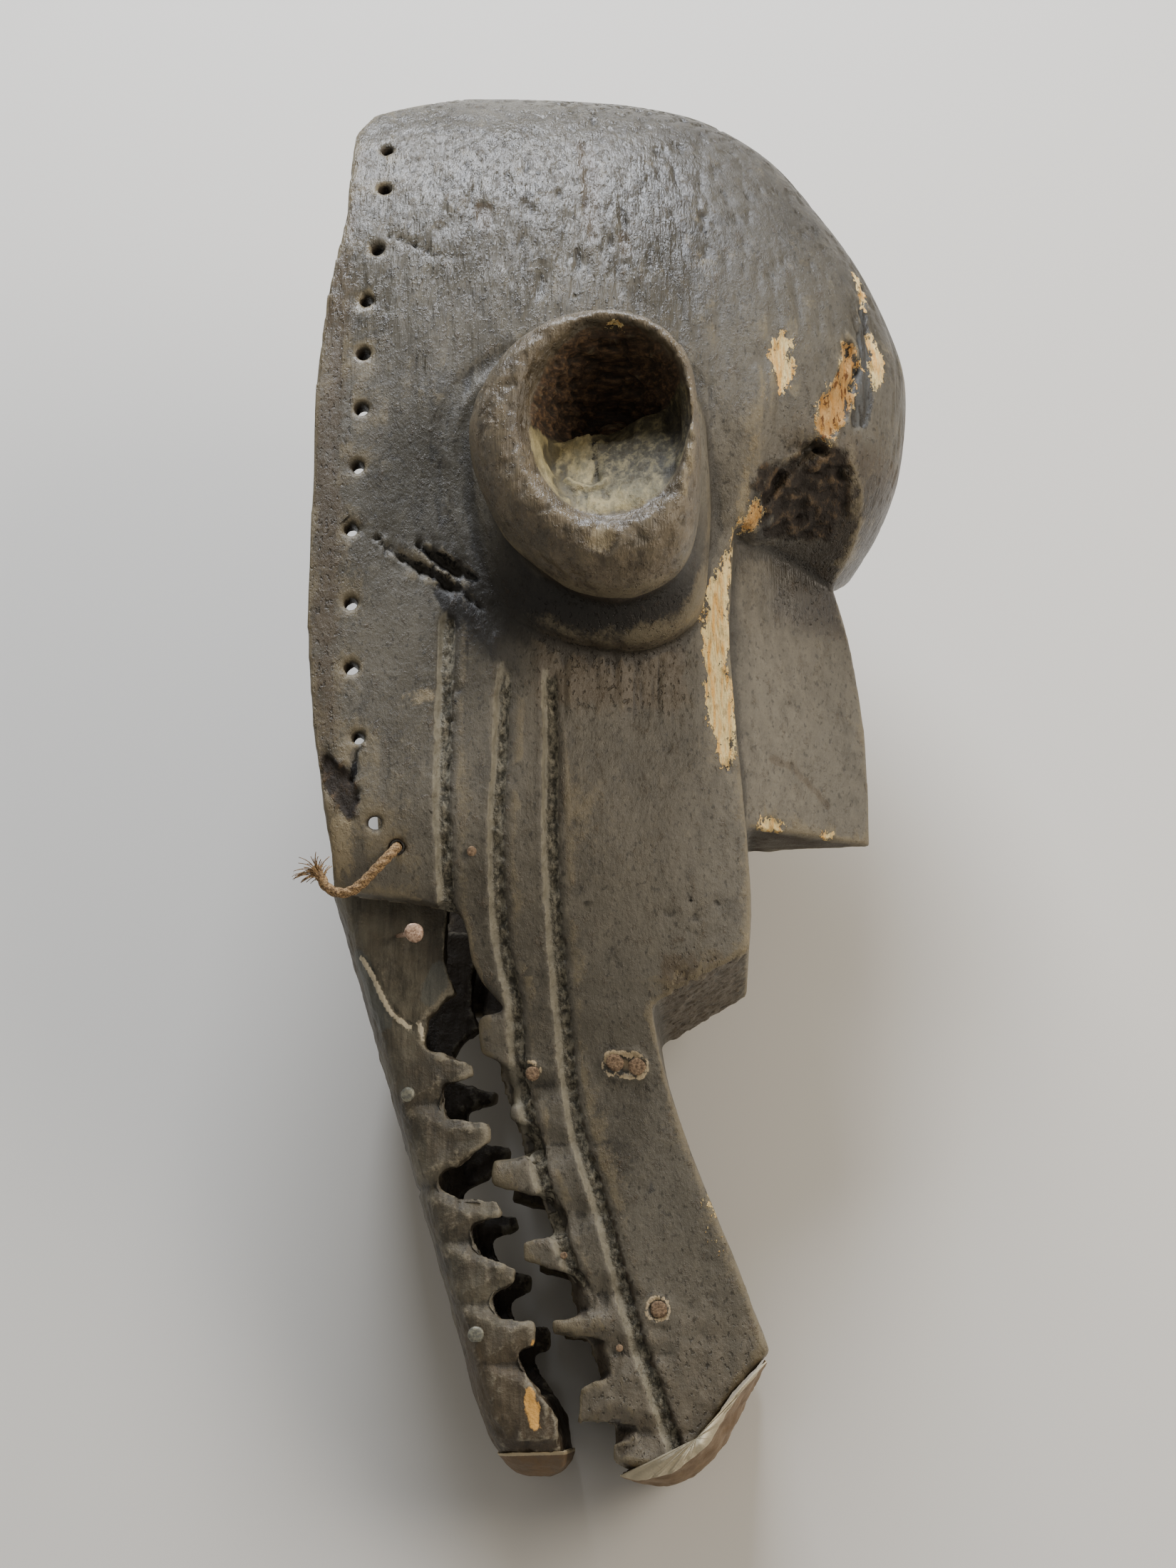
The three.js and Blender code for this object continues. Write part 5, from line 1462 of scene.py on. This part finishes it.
def rusted_iron(colours):
    """Old forged nail iron: a dull skin of brown rust with darker scale and orange bloom."""
    f = Finish("rusted_iron", colours)
    add, place = f.add, f.place()
    bloom = f.pattern(place, 1.3, 5, 0.7)
    f.colour = add("blend", add("step", bloom, 0.36, 0.64), "rust_dark", "rust")
    f.coat("rust_bloom", add("step", f.pattern(place, 0.7, 3, 0.6), 0.58, 0.72), 0.6)
    return f.finish(0.82, f.relief((bloom, 0.35)), metallic=0.15)


def grey_iron(colours):
    """Nail iron rubbed smooth and grown grey: a soft metal shine under a chalky film."""
    f = Finish("grey_iron", colours)
    add, place = f.add, f.place()
    film = f.pattern(place, 1.6, 4, 0.6)
    f.colour = add("blend", add("step", film, 0.4, 0.62), "grey_iron", "grey_film")
    return f.finish(0.5, f.relief((film, 0.2)), metallic=0.4)


def tarnished_copper_alloy(colours):
    """A copper alloy nail, tarnished to a dull pinkish tan, with fine scratches on its flat head."""
    f = Finish("tarnished_copper_alloy", colours)
    add, place = f.add, f.place()
    tarnish = f.pattern(place, 1.2, 4, 0.6)
    scratch = f.pattern(place, (0.35, 3.5, 3.5), 3, 0.6)
    f.colour = add("blend", add("step", tarnish, 0.4, 0.64), "copper", "copper_dull")
    return f.finish(0.48, f.relief((scratch, 0.12)), metallic=0.45)


def dried_hide(colours, name, tan, edge):
    """Raw hide dried hard on the wood: smooth and tan outside, off-white where its edge is torn."""
    f = Finish(name, colours)
    add, place = f.add, f.place()
    pores = f.pattern(place, 0.9, 4, 0.6)
    stain = f.pattern(place, (9, 14, 9), 4)
    f.colour = add("blend", add("step", stain, 0.36, 0.66), tan, "hide_stain")
    f.coat("hide_pore", add("step", pores, 0.55, 0.72), 0.4)
    torn = add("step", add("sum", add("mark", "torn_edge"), pores, 0.8), 0.75, 1.0)
    f.coat(edge, torn)
    return f.finish(add("step", stain, 0.3, 0.7, 0.5, 0.72), f.relief((stain, 0.8), (pores, 0.18)))


def plant_fibre(colours):
    """Twisted bark or palm fibre, dry and unspun at its end: straw brown with dark strands between."""
    f = Finish("plant_fibre", colours)
    add, place = f.add, f.place()
    strand = f.pattern(place, 0.8, 4, 0.7)
    f.colour = add("blend", add("step", strand, 0.38, 0.62), "fibre_dark", "fibre")
    return f.finish(0.85, f.relief((strand, 0.25)))


def studio_paper(colours):
    """Plain matt paper under the mask."""
    f = Finish("studio_paper", colours)
    f.colour = "paper"
    return f.finish(0.9)


# Nails: place of the head, its radius and height, the shank's radius and length, and its lift off the wood
BODY_NAILS = {
    "cheek_nail_small": (67, 314, 2.3, 0.8, 1.0, 9, 0.3),
    "muzzle_nail_ring": (93, 216, 3.3, 1.2, 1.2, 10, 1.2),
    "muzzle_nail_pair_a": (131, 221, 4.0, 1.2, 1.3, 10, 1.6),
    "muzzle_nail_pair_b": (141, 219, 4.0, 1.2, 1.3, 10, 1.6),
    "muzzle_nail_low": (150, 110, 3.8, 1.4, 1.3, 10, 0.3),
    "tooth_nail_a": (107, 134, 1.7, 1.0, 0.8, 8, 0.3),
    "tooth_nail_b": (132, 93, 1.7, 1.0, 0.8, 8, 0.9),
}
JAW_NAILS = {"jaw_nail_upper": (35, 207, 3.3), "jaw_nail_lower": (67, 99, 3.6)}
JAW_NAIL_GAP = 0.3
# A hammered head's outline from its underside up, as shares of its height and radius
NAIL_HEAD = [(0, 0.8), (0.12, 0.97), (0.4, 1), (0.7, 0.95), (0.93, 0.78), (1, 0.5), (1, 0.2)]
PROUD_HEAD = (42.0, 275.0, 99.0)
PROUD_ENTRY = (29.5, 280.5)
FAR_SPOT = (36, 286)

# The hide on the muzzle's end: how thick it is, how far it stands off the wood, which share of the end it covers
HIDE_THICKNESS = 1.4
HIDE_LEAST, HIDE_BULGE, HIDE_LOW_END = 1.6, 6.8, 1.4
HIDE_SPAN = (0.13, 0.97)
HIDE_NEAR_EDGE, HIDE_FAR_EDGE = 45.5, -30.0
# The hide on the jaw's tip: its top, and how much larger than the tip its outside and its inside are
TIP_HIDE_TOP = 47.5
TIP_HIDE_OUTSIDE = (1.105, 1.16, 1.046)
TIP_HIDE_INSIDE = (1.022, 1.04, 1.0095)

CORD_RADIUS = 2.5
CORD_IN_HOLE = 13.0
CORD_STRAIGHT = 13.0
CORD_END = 6.0
CORD_HOOK = 118.0
FIBRES = 60


def across_both(along):
    """Two directions at right angles to one direction and to each other."""
    side = unit(np.cross(along, [0.0, 1.0, 0.0] if abs(along[1]) < 0.9 else [1.0, 0.0, 0.0]))
    return side, np.cross(along, side)


def circle(turn, radius, side, other):
    return (radius * np.cos(turn))[:, None] * side + (radius * np.sin(turn))[:, None] * other


def nail(head, into, head_radius, head_height, shank_radius, length, seed):
    """A nail with a low hammered head. The head's underside is at head, and the shank runs into the wood."""
    into = unit(into)
    side, other = across_both(into)
    profile = [
        (length, 0.12 * shank_radius), (length - 1.2, 0.5 * shank_radius), (length * 0.6, 0.8 * shank_radius),
        (0.6, shank_radius), (0.05, shank_radius * 1.05),
    ]
    profile += [(-up * head_height, head_radius * share) for up, share in NAIL_HEAD]
    turn = np.linspace(0, 2 * math.pi, 40, endpoint=False)
    around = np.stack([np.cos(turn) * 1.3, np.sin(turn) * 1.3, np.full(40, seed * 3.1)], 1)
    uneven = 1 + 0.07 * noise(around, seed) + 0.03 * noise(around * 3, seed + 1)
    rings = []
    for depth, radius in profile:
        spread = uneven if depth <= 0 else 1.0
        ring = np.asarray(head, float) + into * depth + circle(turn, radius * spread, side, other)
        if depth < -0.8 * head_height:
            ring = ring + into * (0.16 * noise(ring / 1.7, seed + 5))[:, None]
        rings.append(ring)
    return loft(rings)


def cord_route():
    """The points that the cord follows: out of its hole, along the cheek and round in a hook."""
    place, normal = skin_points(LASH_HOLES[-1:])
    leave, out = place[0], normal[0]
    down = unit([-0.69, -0.72, 0])
    across = np.array([down[1], -down[0], 0])
    bend = 4 * CORD_RADIUS + 0.5
    points = [leave - out * CORD_IN_HOLE, leave - out * CORD_IN_HOLE / 2]
    for angle in np.linspace(0, math.pi / 2, 5):
        points.append(leave + down * bend * (1 - math.cos(angle)) + out * bend * math.sin(angle))
    start = points[-1] + down * CORD_STRAIGHT
    middle = start + across * bend
    for angle in np.radians(CORD_HOOK) * np.linspace(0, 1, 5):
        points.append(middle - across * bend * math.cos(angle) + down * bend * math.sin(angle))
    points.append(points[-1] + unit(points[-1] - points[-2]) * CORD_END)
    return np.array(points)


def tube(path, radius_at, sides=36):
    """A tube along a path. radius_at gives the radius from how far along a point is and its angle round the path."""
    along = units(np.gradient(path, axis=0))
    side, _ = across_both(along[0])
    turn = np.linspace(0, 2 * math.pi, sides, endpoint=False)
    rings, gone = [], 0.0
    for k, (point, heading) in enumerate(zip(path, along)):
        side = unit(side - heading * np.dot(side, heading))
        other = np.cross(heading, side)
        gone += np.linalg.norm(point - path[k - 1]) if k else 0.0
        rings.append(point + circle(turn, radius_at(gone, turn), side, other))
    return loft(rings)


def fibres(path):
    """The unspun end of the cord: thin fibres that part from each other."""
    heading = unit(path[-1] - path[-4])
    side, other = across_both(heading)
    points, faces, count = [], [], 0
    for k in range(FIBRES):
        a, b, c, d = (_hash(np.array([k]), np.array([n]), np.array([0]), 71)[0] for n in range(4))
        angle, reach = 2 * math.pi * a, 5 + 8 * b
        away = math.cos(angle) * side + math.sin(angle) * other
        start = path[-1] - heading * (2 + 6 * d) + away * CORD_RADIUS * (0.35 + 0.5 * c)
        bend = away * (3 + 6 * c) + np.array([0, -2.0, -1.0]) * (1 + 2 * b)
        t = np.linspace(0, 1, 7)[:, None]
        line = start + heading * reach * t + bend * t ** 2 + side * (d - 0.5) * 4 * t ** 3
        solid = tube(line, lambda gone, turn: 0.26 - 0.008 * gone + 0 * turn, 6)
        points.append(solid[0])
        faces.append(solid[1] + count)
        count += len(solid[0])
    return np.concatenate(points), np.concatenate(faces)


def muzzle_hide_sheet(wrinkle):
    """A sheet of hide that bulges off the end of the muzzle, and how close each point is to its torn near edge."""
    line = curve_points(MUZZLE_END[::-1], 601)
    slope = units(np.gradient(line, axis=0))
    out = np.stack([slope[:, 1], -slope[:, 0]], 1)
    share = np.linspace(0, 1, 96)
    at = (lerp(*HIDE_SPAN, share) * 600).astype(int)

    def ragged(waves, seed):
        return noise(share[:, None] * [waves, 0, 0], seed)

    near_edge = HIDE_NEAR_EDGE - 1.2 + 0.8 * (1.5 * ragged(9, 81) + 0.7 * ragged(31, 82))
    far_edge = HIDE_FAR_EDGE + 1.5 * ragged(7, 83)
    at_ends = np.minimum(1, 8 * np.minimum(share, 1 - share) + 0.45)
    inner, outer, edge = [], [], []
    for row in np.linspace(0, 1, 90):
        z = lerp(near_edge, far_edge, row)
        swell = smoothstep(HIDE_NEAR_EDGE - z, 0, 32) * lerp(1, 0.5, smoothstep(-z, 0, -HIDE_FAR_EDGE))
        lift = HIDE_LEAST + HIDE_BULGE * np.sin(math.pi * share) * swell + HIDE_LOW_END * (1 - share)
        flat = np.stack([line[at, 0], line[at, 1], z], 1)
        outward = np.stack([out[at, 0], out[at, 1], z * 0], 1)
        crease = wrinkle * fractal(flat, (7, 7, 12), 3, 84)
        thick = HIDE_THICKNESS * (0.72 + 0.28 * smoothstep(row, 0, 0.06)) * at_ends
        inner.append(flat + outward * (lift + crease)[:, None])
        outer.append(flat + outward * (lift + crease + thick)[:, None])
        edge.append(np.full(len(share), max(0.0, 1 - row / 0.022)))
    rings = [np.concatenate([a, b[::-1]]) for a, b in zip(inner, outer)]
    return loft(rings), np.concatenate([np.tile(e, 2) for e in edge] + [[1.0, 0.0]])


def jaw_tip_hide_form(jaw):
    """Hide wrapped over the tip of the jaw, grown from the tip's own form."""
    middle = np.array([87, TIP_HIDE_TOP, 0])

    def grown(top, share):
        part = linked("grown", jaw.data.copy())
        keep = plate("keep", [(0, 0), (160, 0), (160, top + 2), (0, top - 2.5)], -80, 80)
        combine(part, [keep], "INTERSECT")
        skin = Skin(part)
        skin.points = middle + (skin.points - middle) * share
        skin.write()
        return part

    cap = grown(TIP_HIDE_TOP, TIP_HIDE_OUTSIDE)
    combine(cap, [grown(TIP_HIDE_TOP + 2, TIP_HIDE_INSIDE), object_of("floor", below_floor())], "DIFFERENCE")
    cap.name = "jaw_tip_hide_shrunk"
    return cap


COLOURS = {
    "dark": "#4b463a", "grey": "#625d51", "deep": "#201d17", "brown": "#504330", "dust": "#706a5a",
    "dusty": "#787162", "lip_dust": "#786b55", "soot": "#130f0a", "rot_and_shade_dark": "#241a10", "rot_light": "#6f593d",
    "hollow": "#3a2f22", "shaded_end_grain": "#3a2b1e", "shaded_end_fibre": "#755a3e", "pit_floor": "#a6986c",
    "lichen": "#736c4f", "pit_shade": "#423d2a", "worn": "#7d7259", "crust_dark": "#464338", "crust": "#9a937f",
    "groove_slope": "#7b7665", "groove_edge": "#8f8976", "ash": "#4a4d4e", "pale": "#a39473", "ring": "#cbb793",
    "raw": "#ffe6a6", "raw_shade": "#f2b860", "orange": "#b9803f", "rot": "#6d4422", "rust_wood": "#9c896b",
    "black": "#0d0a07", "jaw_grey": "#6f6a5a", "jaw_brown": "#524532", "jaw_worn": "#8e8672",
    "jaw_ash": "#5d605b", "thread": "#cfc3a8", "rust_dark": "#5a4838", "rust": "#9d8468",
    "rust_bloom": "#8c6d4c", "grey_iron": "#6f6f66", "grey_film": "#8f8d7c", "copper": "#bb9f89",
    "copper_dull": "#7f6552", "hide_tan": "#7f6748", "hide_brown": "#5d4a33", "hide_stain": "#6b5438",
    "hide_pore": "#4e3c28", "hide_edge": "#cfc3a6", "hide_line": "#a89878", "fibre": "#a98a60",
    "fibre_dark": "#523c25", "paper": "#d9d6cf",
}

# Where the photographed eye stands, in the mask's frame, and how its view is turned
EYE = (182.8, 72.4, 1108.7)
VIEW_RIGHT = (0.998135, 0.0, -0.061049)
VIEW_UP = (0.015801, 0.965926, 0.258336)
VIEW_BACK = (0.058969, -0.258819, 0.964124)
SENSOR_HEIGHT = 36.0
FOCAL_SHARE = 3200 / 2200

# The stage, in the row's frame and in metres: each soft light's place, width and colour, and where they point
FLOOR_HALF = 4.0
LIGHTS = {"key": ((-0.15, 1.55, 1.35), 0.8, "#f0f5ff"), "side": ((1.3, 0.1, 1.25), 1.0, "#fff3e2")}
LIGHT_AIM = (0, 0.05, 0.1)
ROOM_LIGHT = "#efeae2"


def colour_property(key):
    name = key.replace("_", " ").capitalize()
    return FloatVectorProperty(
        name=name, description=f"Colour of the mask's materials: {name.lower()}", subtype="COLOR",
        default=linear(COLOURS[key]), min=0.0, max=1.0,
    )


class MaskColours(bpy.types.PropertyGroup):
    """The colours of the mask's materials."""

    __annotations__ = {key: colour_property(key) for key in COLOURS}


class MaskSizes(bpy.types.PropertyGroup):
    """Sizes that shape the mask's fine carving and its small parts."""

    relief: FloatProperty(
        name="Relief", description="How deep the grain and the tool marks go, as a share of the usual depth",
        default=1.0, min=0.0, max=2.0, subtype="FACTOR",
    )
    hide_wrinkle: FloatProperty(
        name="Hide wrinkle", description="How deep the dried hide is wrinkled", default=0.0008, min=0.0, max=0.003,
        unit="LENGTH",
    )
    cord_diameter: FloatProperty(
        name="Cord diameter", description="Diameter of the cord remnant", default=0.005, min=0.002, max=0.008,
        unit="LENGTH",
    )


class MaskStage(bpy.types.PropertyGroup):
    """The light on the mask."""

    key_power: FloatProperty(
        name="Key light", description="Power of the large soft light from above the crown", default=61.0, min=0.0,
        max=500.0, unit="POWER",
    )
    side_power: FloatProperty(
        name="Side light", description="Power of the soft light from in front of the face", default=20.0, min=0.0,
        max=500.0, unit="POWER",
    )
    room_strength: FloatProperty(
        name="Room light", description="Strength of the light from all around", default=0.38, min=0.0, max=5.0,
    )


def chosen_colours():
    return {key: tuple(getattr(bpy.context.scene.mask_colours, key)) for key in COLOURS}


def dress(obj, material):
    obj.data.materials.clear()
    obj.data.materials.append(material)


class MASK_OT_set_stage(bpy.types.Operator):
    """Sets up the camera, the floor and the soft light"""

    bl_idname = "mask.set_stage"
    bl_label = "Set stage"

    def execute(self, context):
        scene, stage = context.scene, context.scene.mask_stage
        lens = bpy.data.cameras.new("view")
        lens.sensor_fit = "VERTICAL"
        lens.sensor_height = SENSOR_HEIGHT
        lens.lens = SENSOR_HEIGHT * FOCAL_SHARE
        camera = linked("view", lens)
        turn = ROW_TURN @ np.array([VIEW_RIGHT, VIEW_UP, VIEW_BACK]).T
        camera.matrix_world = Matrix.Translation(Vector(to_row(EYE))) @ Matrix(turn.tolist()).to_4x4()
        scene.camera = camera

        half = FLOOR_HALF
        mesh = bpy.data.meshes.new("floor")
        mesh.from_pydata([(-half, -half, 0), (half, -half, 0), (half, half, 0), (-half, half, 0)], [], [(0, 1, 2, 3)])
        mesh.materials.append(studio_paper(chosen_colours()))
        linked("floor", mesh)

        powers = {"key": stage.key_power, "side": stage.side_power}
        for name, (place, size, glow) in LIGHTS.items():
            light = bpy.data.lights.new(name, "AREA")
            light.size = size
            light.energy = powers[name]
            light.color = linear(glow)
            lamp = linked(name, light)
            lamp.location = place
            lamp.rotation_euler = (Vector(LIGHT_AIM) - Vector(place)).to_track_quat("-Z", "Y").to_euler()
        world = bpy.data.worlds.new("room")
        world.use_nodes = True
        background = world.node_tree.nodes["Background"]
        background.inputs["Color"].default_value = (*linear(ROOM_LIGHT), 1)
        background.inputs["Strength"].default_value = stage.room_strength
        scene.world = world
        return {"FINISHED"}


class MASK_OT_tie_cord(bpy.types.Operator):
    """Makes the cord remnant and its frayed end"""

    bl_idname = "mask.tie_cord"
    bl_label = "Tie cord"

    def execute(self, context):
        radius = context.scene.mask_sizes.cord_diameter * 500
        path = curve_points(cord_route(), 150)

        def strands(gone, turn):
            lobes = np.abs(np.cos(1.5 * (turn - gone * 0.42)))
            ragged = noise(np.stack([np.cos(turn) * 2, np.sin(turn) * 2, turn * 0 + gone * 0.9], 1), 61)
            return radius * (0.74 + 0.24 * lobes + 0.05 * ragged)

        cord = object_of("cord_remnant_twisted", tube(path, strands))
        tuft = object_of("cord_remnant_tuft", fibres(path))
        material = plant_fibre(chosen_colours())
        for piece in (cord, tuft):
            lay_down(piece)
            dress(piece, material)
        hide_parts("cord_remnant")
        row_path = to_row(path)
        return {"FINISHED"}


class MASK_OT_carve_body(bpy.types.Operator):
    """Carves the head, sockets and upper muzzle, which are one solid"""

    bl_idname = "mask.carve_body"
    bl_label = "Carve body"

    def execute(self, context):
        depth = context.scene.mask_sizes.relief
        body = remade(body_blank(), BODY_GRAIN)
        skin = Skin(body)
        skin.smooth(CARVED_ROUNDS)
        carve_body(skin, depth)
        p = skin.points
        keep = KEEP_FAR + KEEP_NEAR * smoothstep(p[:, 2], -30, 40) * outward_share(p, skin.normals)
        thinned(body, BODY_MOST, keep)
        mark_body(Skin(body))
        lay_down(body)
        dress(body, smoked_hardwood(chosen_colours()))
        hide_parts("mask_body")
        return {"FINISHED"}


class MASK_OT_carve_jaw(bpy.types.Operator):
    """Carves the lower jaw and stretches the hide over its tip"""

    bl_idname = "mask.carve_jaw"
    bl_label = "Carve jaw"

    def execute(self, context):
        colours = chosen_colours()
        jaw = jaw_blank()
        cap = jaw_tip_hide_form(jaw)
        remade(jaw, JAW_GRAIN)
        skin = Skin(jaw)
        skin.smooth(CARVED_ROUNDS)
        carve_jaw(skin, context.scene.mask_sizes.relief)
        thinned(jaw, JAW_MOST)
        mark_jaw(Skin(jaw))
        lay_down(jaw)
        dress(jaw, jaw_hardwood(colours))
        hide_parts("lower_jaw")

        remade(cap, CAP_GRAIN)
        skin = Skin(cap)
        skin.smooth(HIDE_ROUNDS)
        skin.push(context.scene.mask_sizes.hide_wrinkle * 700 * fractal(skin.points, (8, 8, 8), 3, 91))
        thinned(cap, CAP_MOST)
        skin = Skin(cap)
        line = TIP_HIDE_TOP - 1 + (skin.points[:, 0] - 80) * 4.5 / 160
        skin.mark("torn_edge", 1 - smoothstep(line - skin.points[:, 1], 0.2, 1.6))
        lay_down(cap)
        dress(cap, dried_hide(colours, "shrunk_hide", "hide_brown", "hide_line"))
        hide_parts("jaw_tip_hide")
        return {"FINISHED"}


class MASK_OT_drive_nails(bpy.types.Operator):
    """Makes the nails in the mask body and the jaw"""

    bl_idname = "mask.drive_nails"
    bl_label = "Drive nails"

    def execute(self, context):
        colours = chosen_colours()
        finishes = {
            "rusted_iron": rusted_iron(colours), "grey_iron": grey_iron(colours),
            "tan_metal": tarnished_copper_alloy(colours),
        }
        solids = {}
        for seed, (name, (x, y, *size, lift)) in enumerate(BODY_NAILS.items()):
            place, out = skin_points([(x, y)], lift)
            solids[name] = ("rusted_iron", nail(place[0], -out[0], *size, seed))
        for seed, (name, (x, y, radius)) in enumerate(JAW_NAILS.items(), 20):
            head = (x, y, float(jaw_half(y)) + JAW_NAIL_GAP)
            solids[name] = ("grey_iron", nail(head, (0, JAW_TAPER, -1), radius, 1.8, 1.2, 8, seed))
        head = np.array(PROUD_HEAD)
        entry = np.array([*PROUD_ENTRY, float(jaw_half(PROUD_ENTRY[1]))])
        reach = float(np.linalg.norm(entry - head)) + 7
        solids["cheek_nail_proud"] = ("tan_metal", nail(head, entry - head, 4.4, 1.6, 1.5, reach, 30))
        place, out = skin_points([FAR_SPOT], 0.9)
        flip = np.array([1, 1, -1])
        solids["cheek_nail_far"] = ("rusted_iron", nail(place[0] * flip, -out[0] * flip, 4.4, 1.6, 1.5, 26, 31))
        for node, (slot, solid) in solids.items():
            piece = object_of(node + "_forged", solid)
            lay_down(piece)
            dress(piece, finishes[slot])
            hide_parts(node)
        return {"FINISHED"}


class MASK_OT_stretch_hide(bpy.types.Operator):
    """Makes the sheet of hide on the end of the muzzle"""

    bl_idname = "mask.stretch_hide"
    bl_label = "Stretch hide"

    def execute(self, context):
        solid, torn = muzzle_hide_sheet(context.scene.mask_sizes.hide_wrinkle * 1000)
        hide = object_of("muzzle_hide_dried", solid)
        Skin(hide).mark("torn_edge", torn)
        lay_down(hide)
        dress(hide, dried_hide(chosen_colours(), "dried_hide", "hide_tan", "hide_edge"))
        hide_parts("muzzle_hide")
        return {"FINISHED"}


class MASK_PT_tools(bpy.types.Panel):
    """Makes the mask, piece by piece"""

    bl_idname = "MASK_PT_tools"
    bl_label = "Carved mask"
    bl_space_type = "VIEW_3D"
    bl_region_type = "UI"
    bl_category = "Mask"

    def draw(self, context):
        for operator in OPERATORS:
            self.layout.operator(operator.bl_idname)
        for group in (context.scene.mask_sizes, context.scene.mask_stage, context.scene.mask_colours):
            box = self.layout.box()
            for key in group.bl_rna.properties.keys():
                if key not in ("rna_type", "name"):
                    box.prop(group, key)


OPERATORS = (
    MASK_OT_set_stage, MASK_OT_tie_cord, MASK_OT_carve_body, MASK_OT_carve_jaw, MASK_OT_drive_nails,
    MASK_OT_stretch_hide,
)
GROUPS = {"mask_colours": MaskColours, "mask_sizes": MaskSizes, "mask_stage": MaskStage}


def register():
    for cls in (*GROUPS.values(), *OPERATORS, MASK_PT_tools):
        bpy.utils.register_class(cls)
    for name, group in GROUPS.items():
        setattr(bpy.types.Scene, name, PointerProperty(type=group))


def unregister():
    for name in GROUPS:
        delattr(bpy.types.Scene, name)
    for cls in reversed((*GROUPS.values(), *OPERATORS, MASK_PT_tools)):
        bpy.utils.unregister_class(cls)


def main():
    register()
    bpy.ops.mask.set_stage()
    bpy.ops.mask.tie_cord()
    bpy.ops.mask.carve_body()
    bpy.ops.mask.carve_jaw()
    bpy.ops.mask.drive_nails()
    bpy.ops.mask.stretch_hide()


if __name__ == "__main__":
    main()
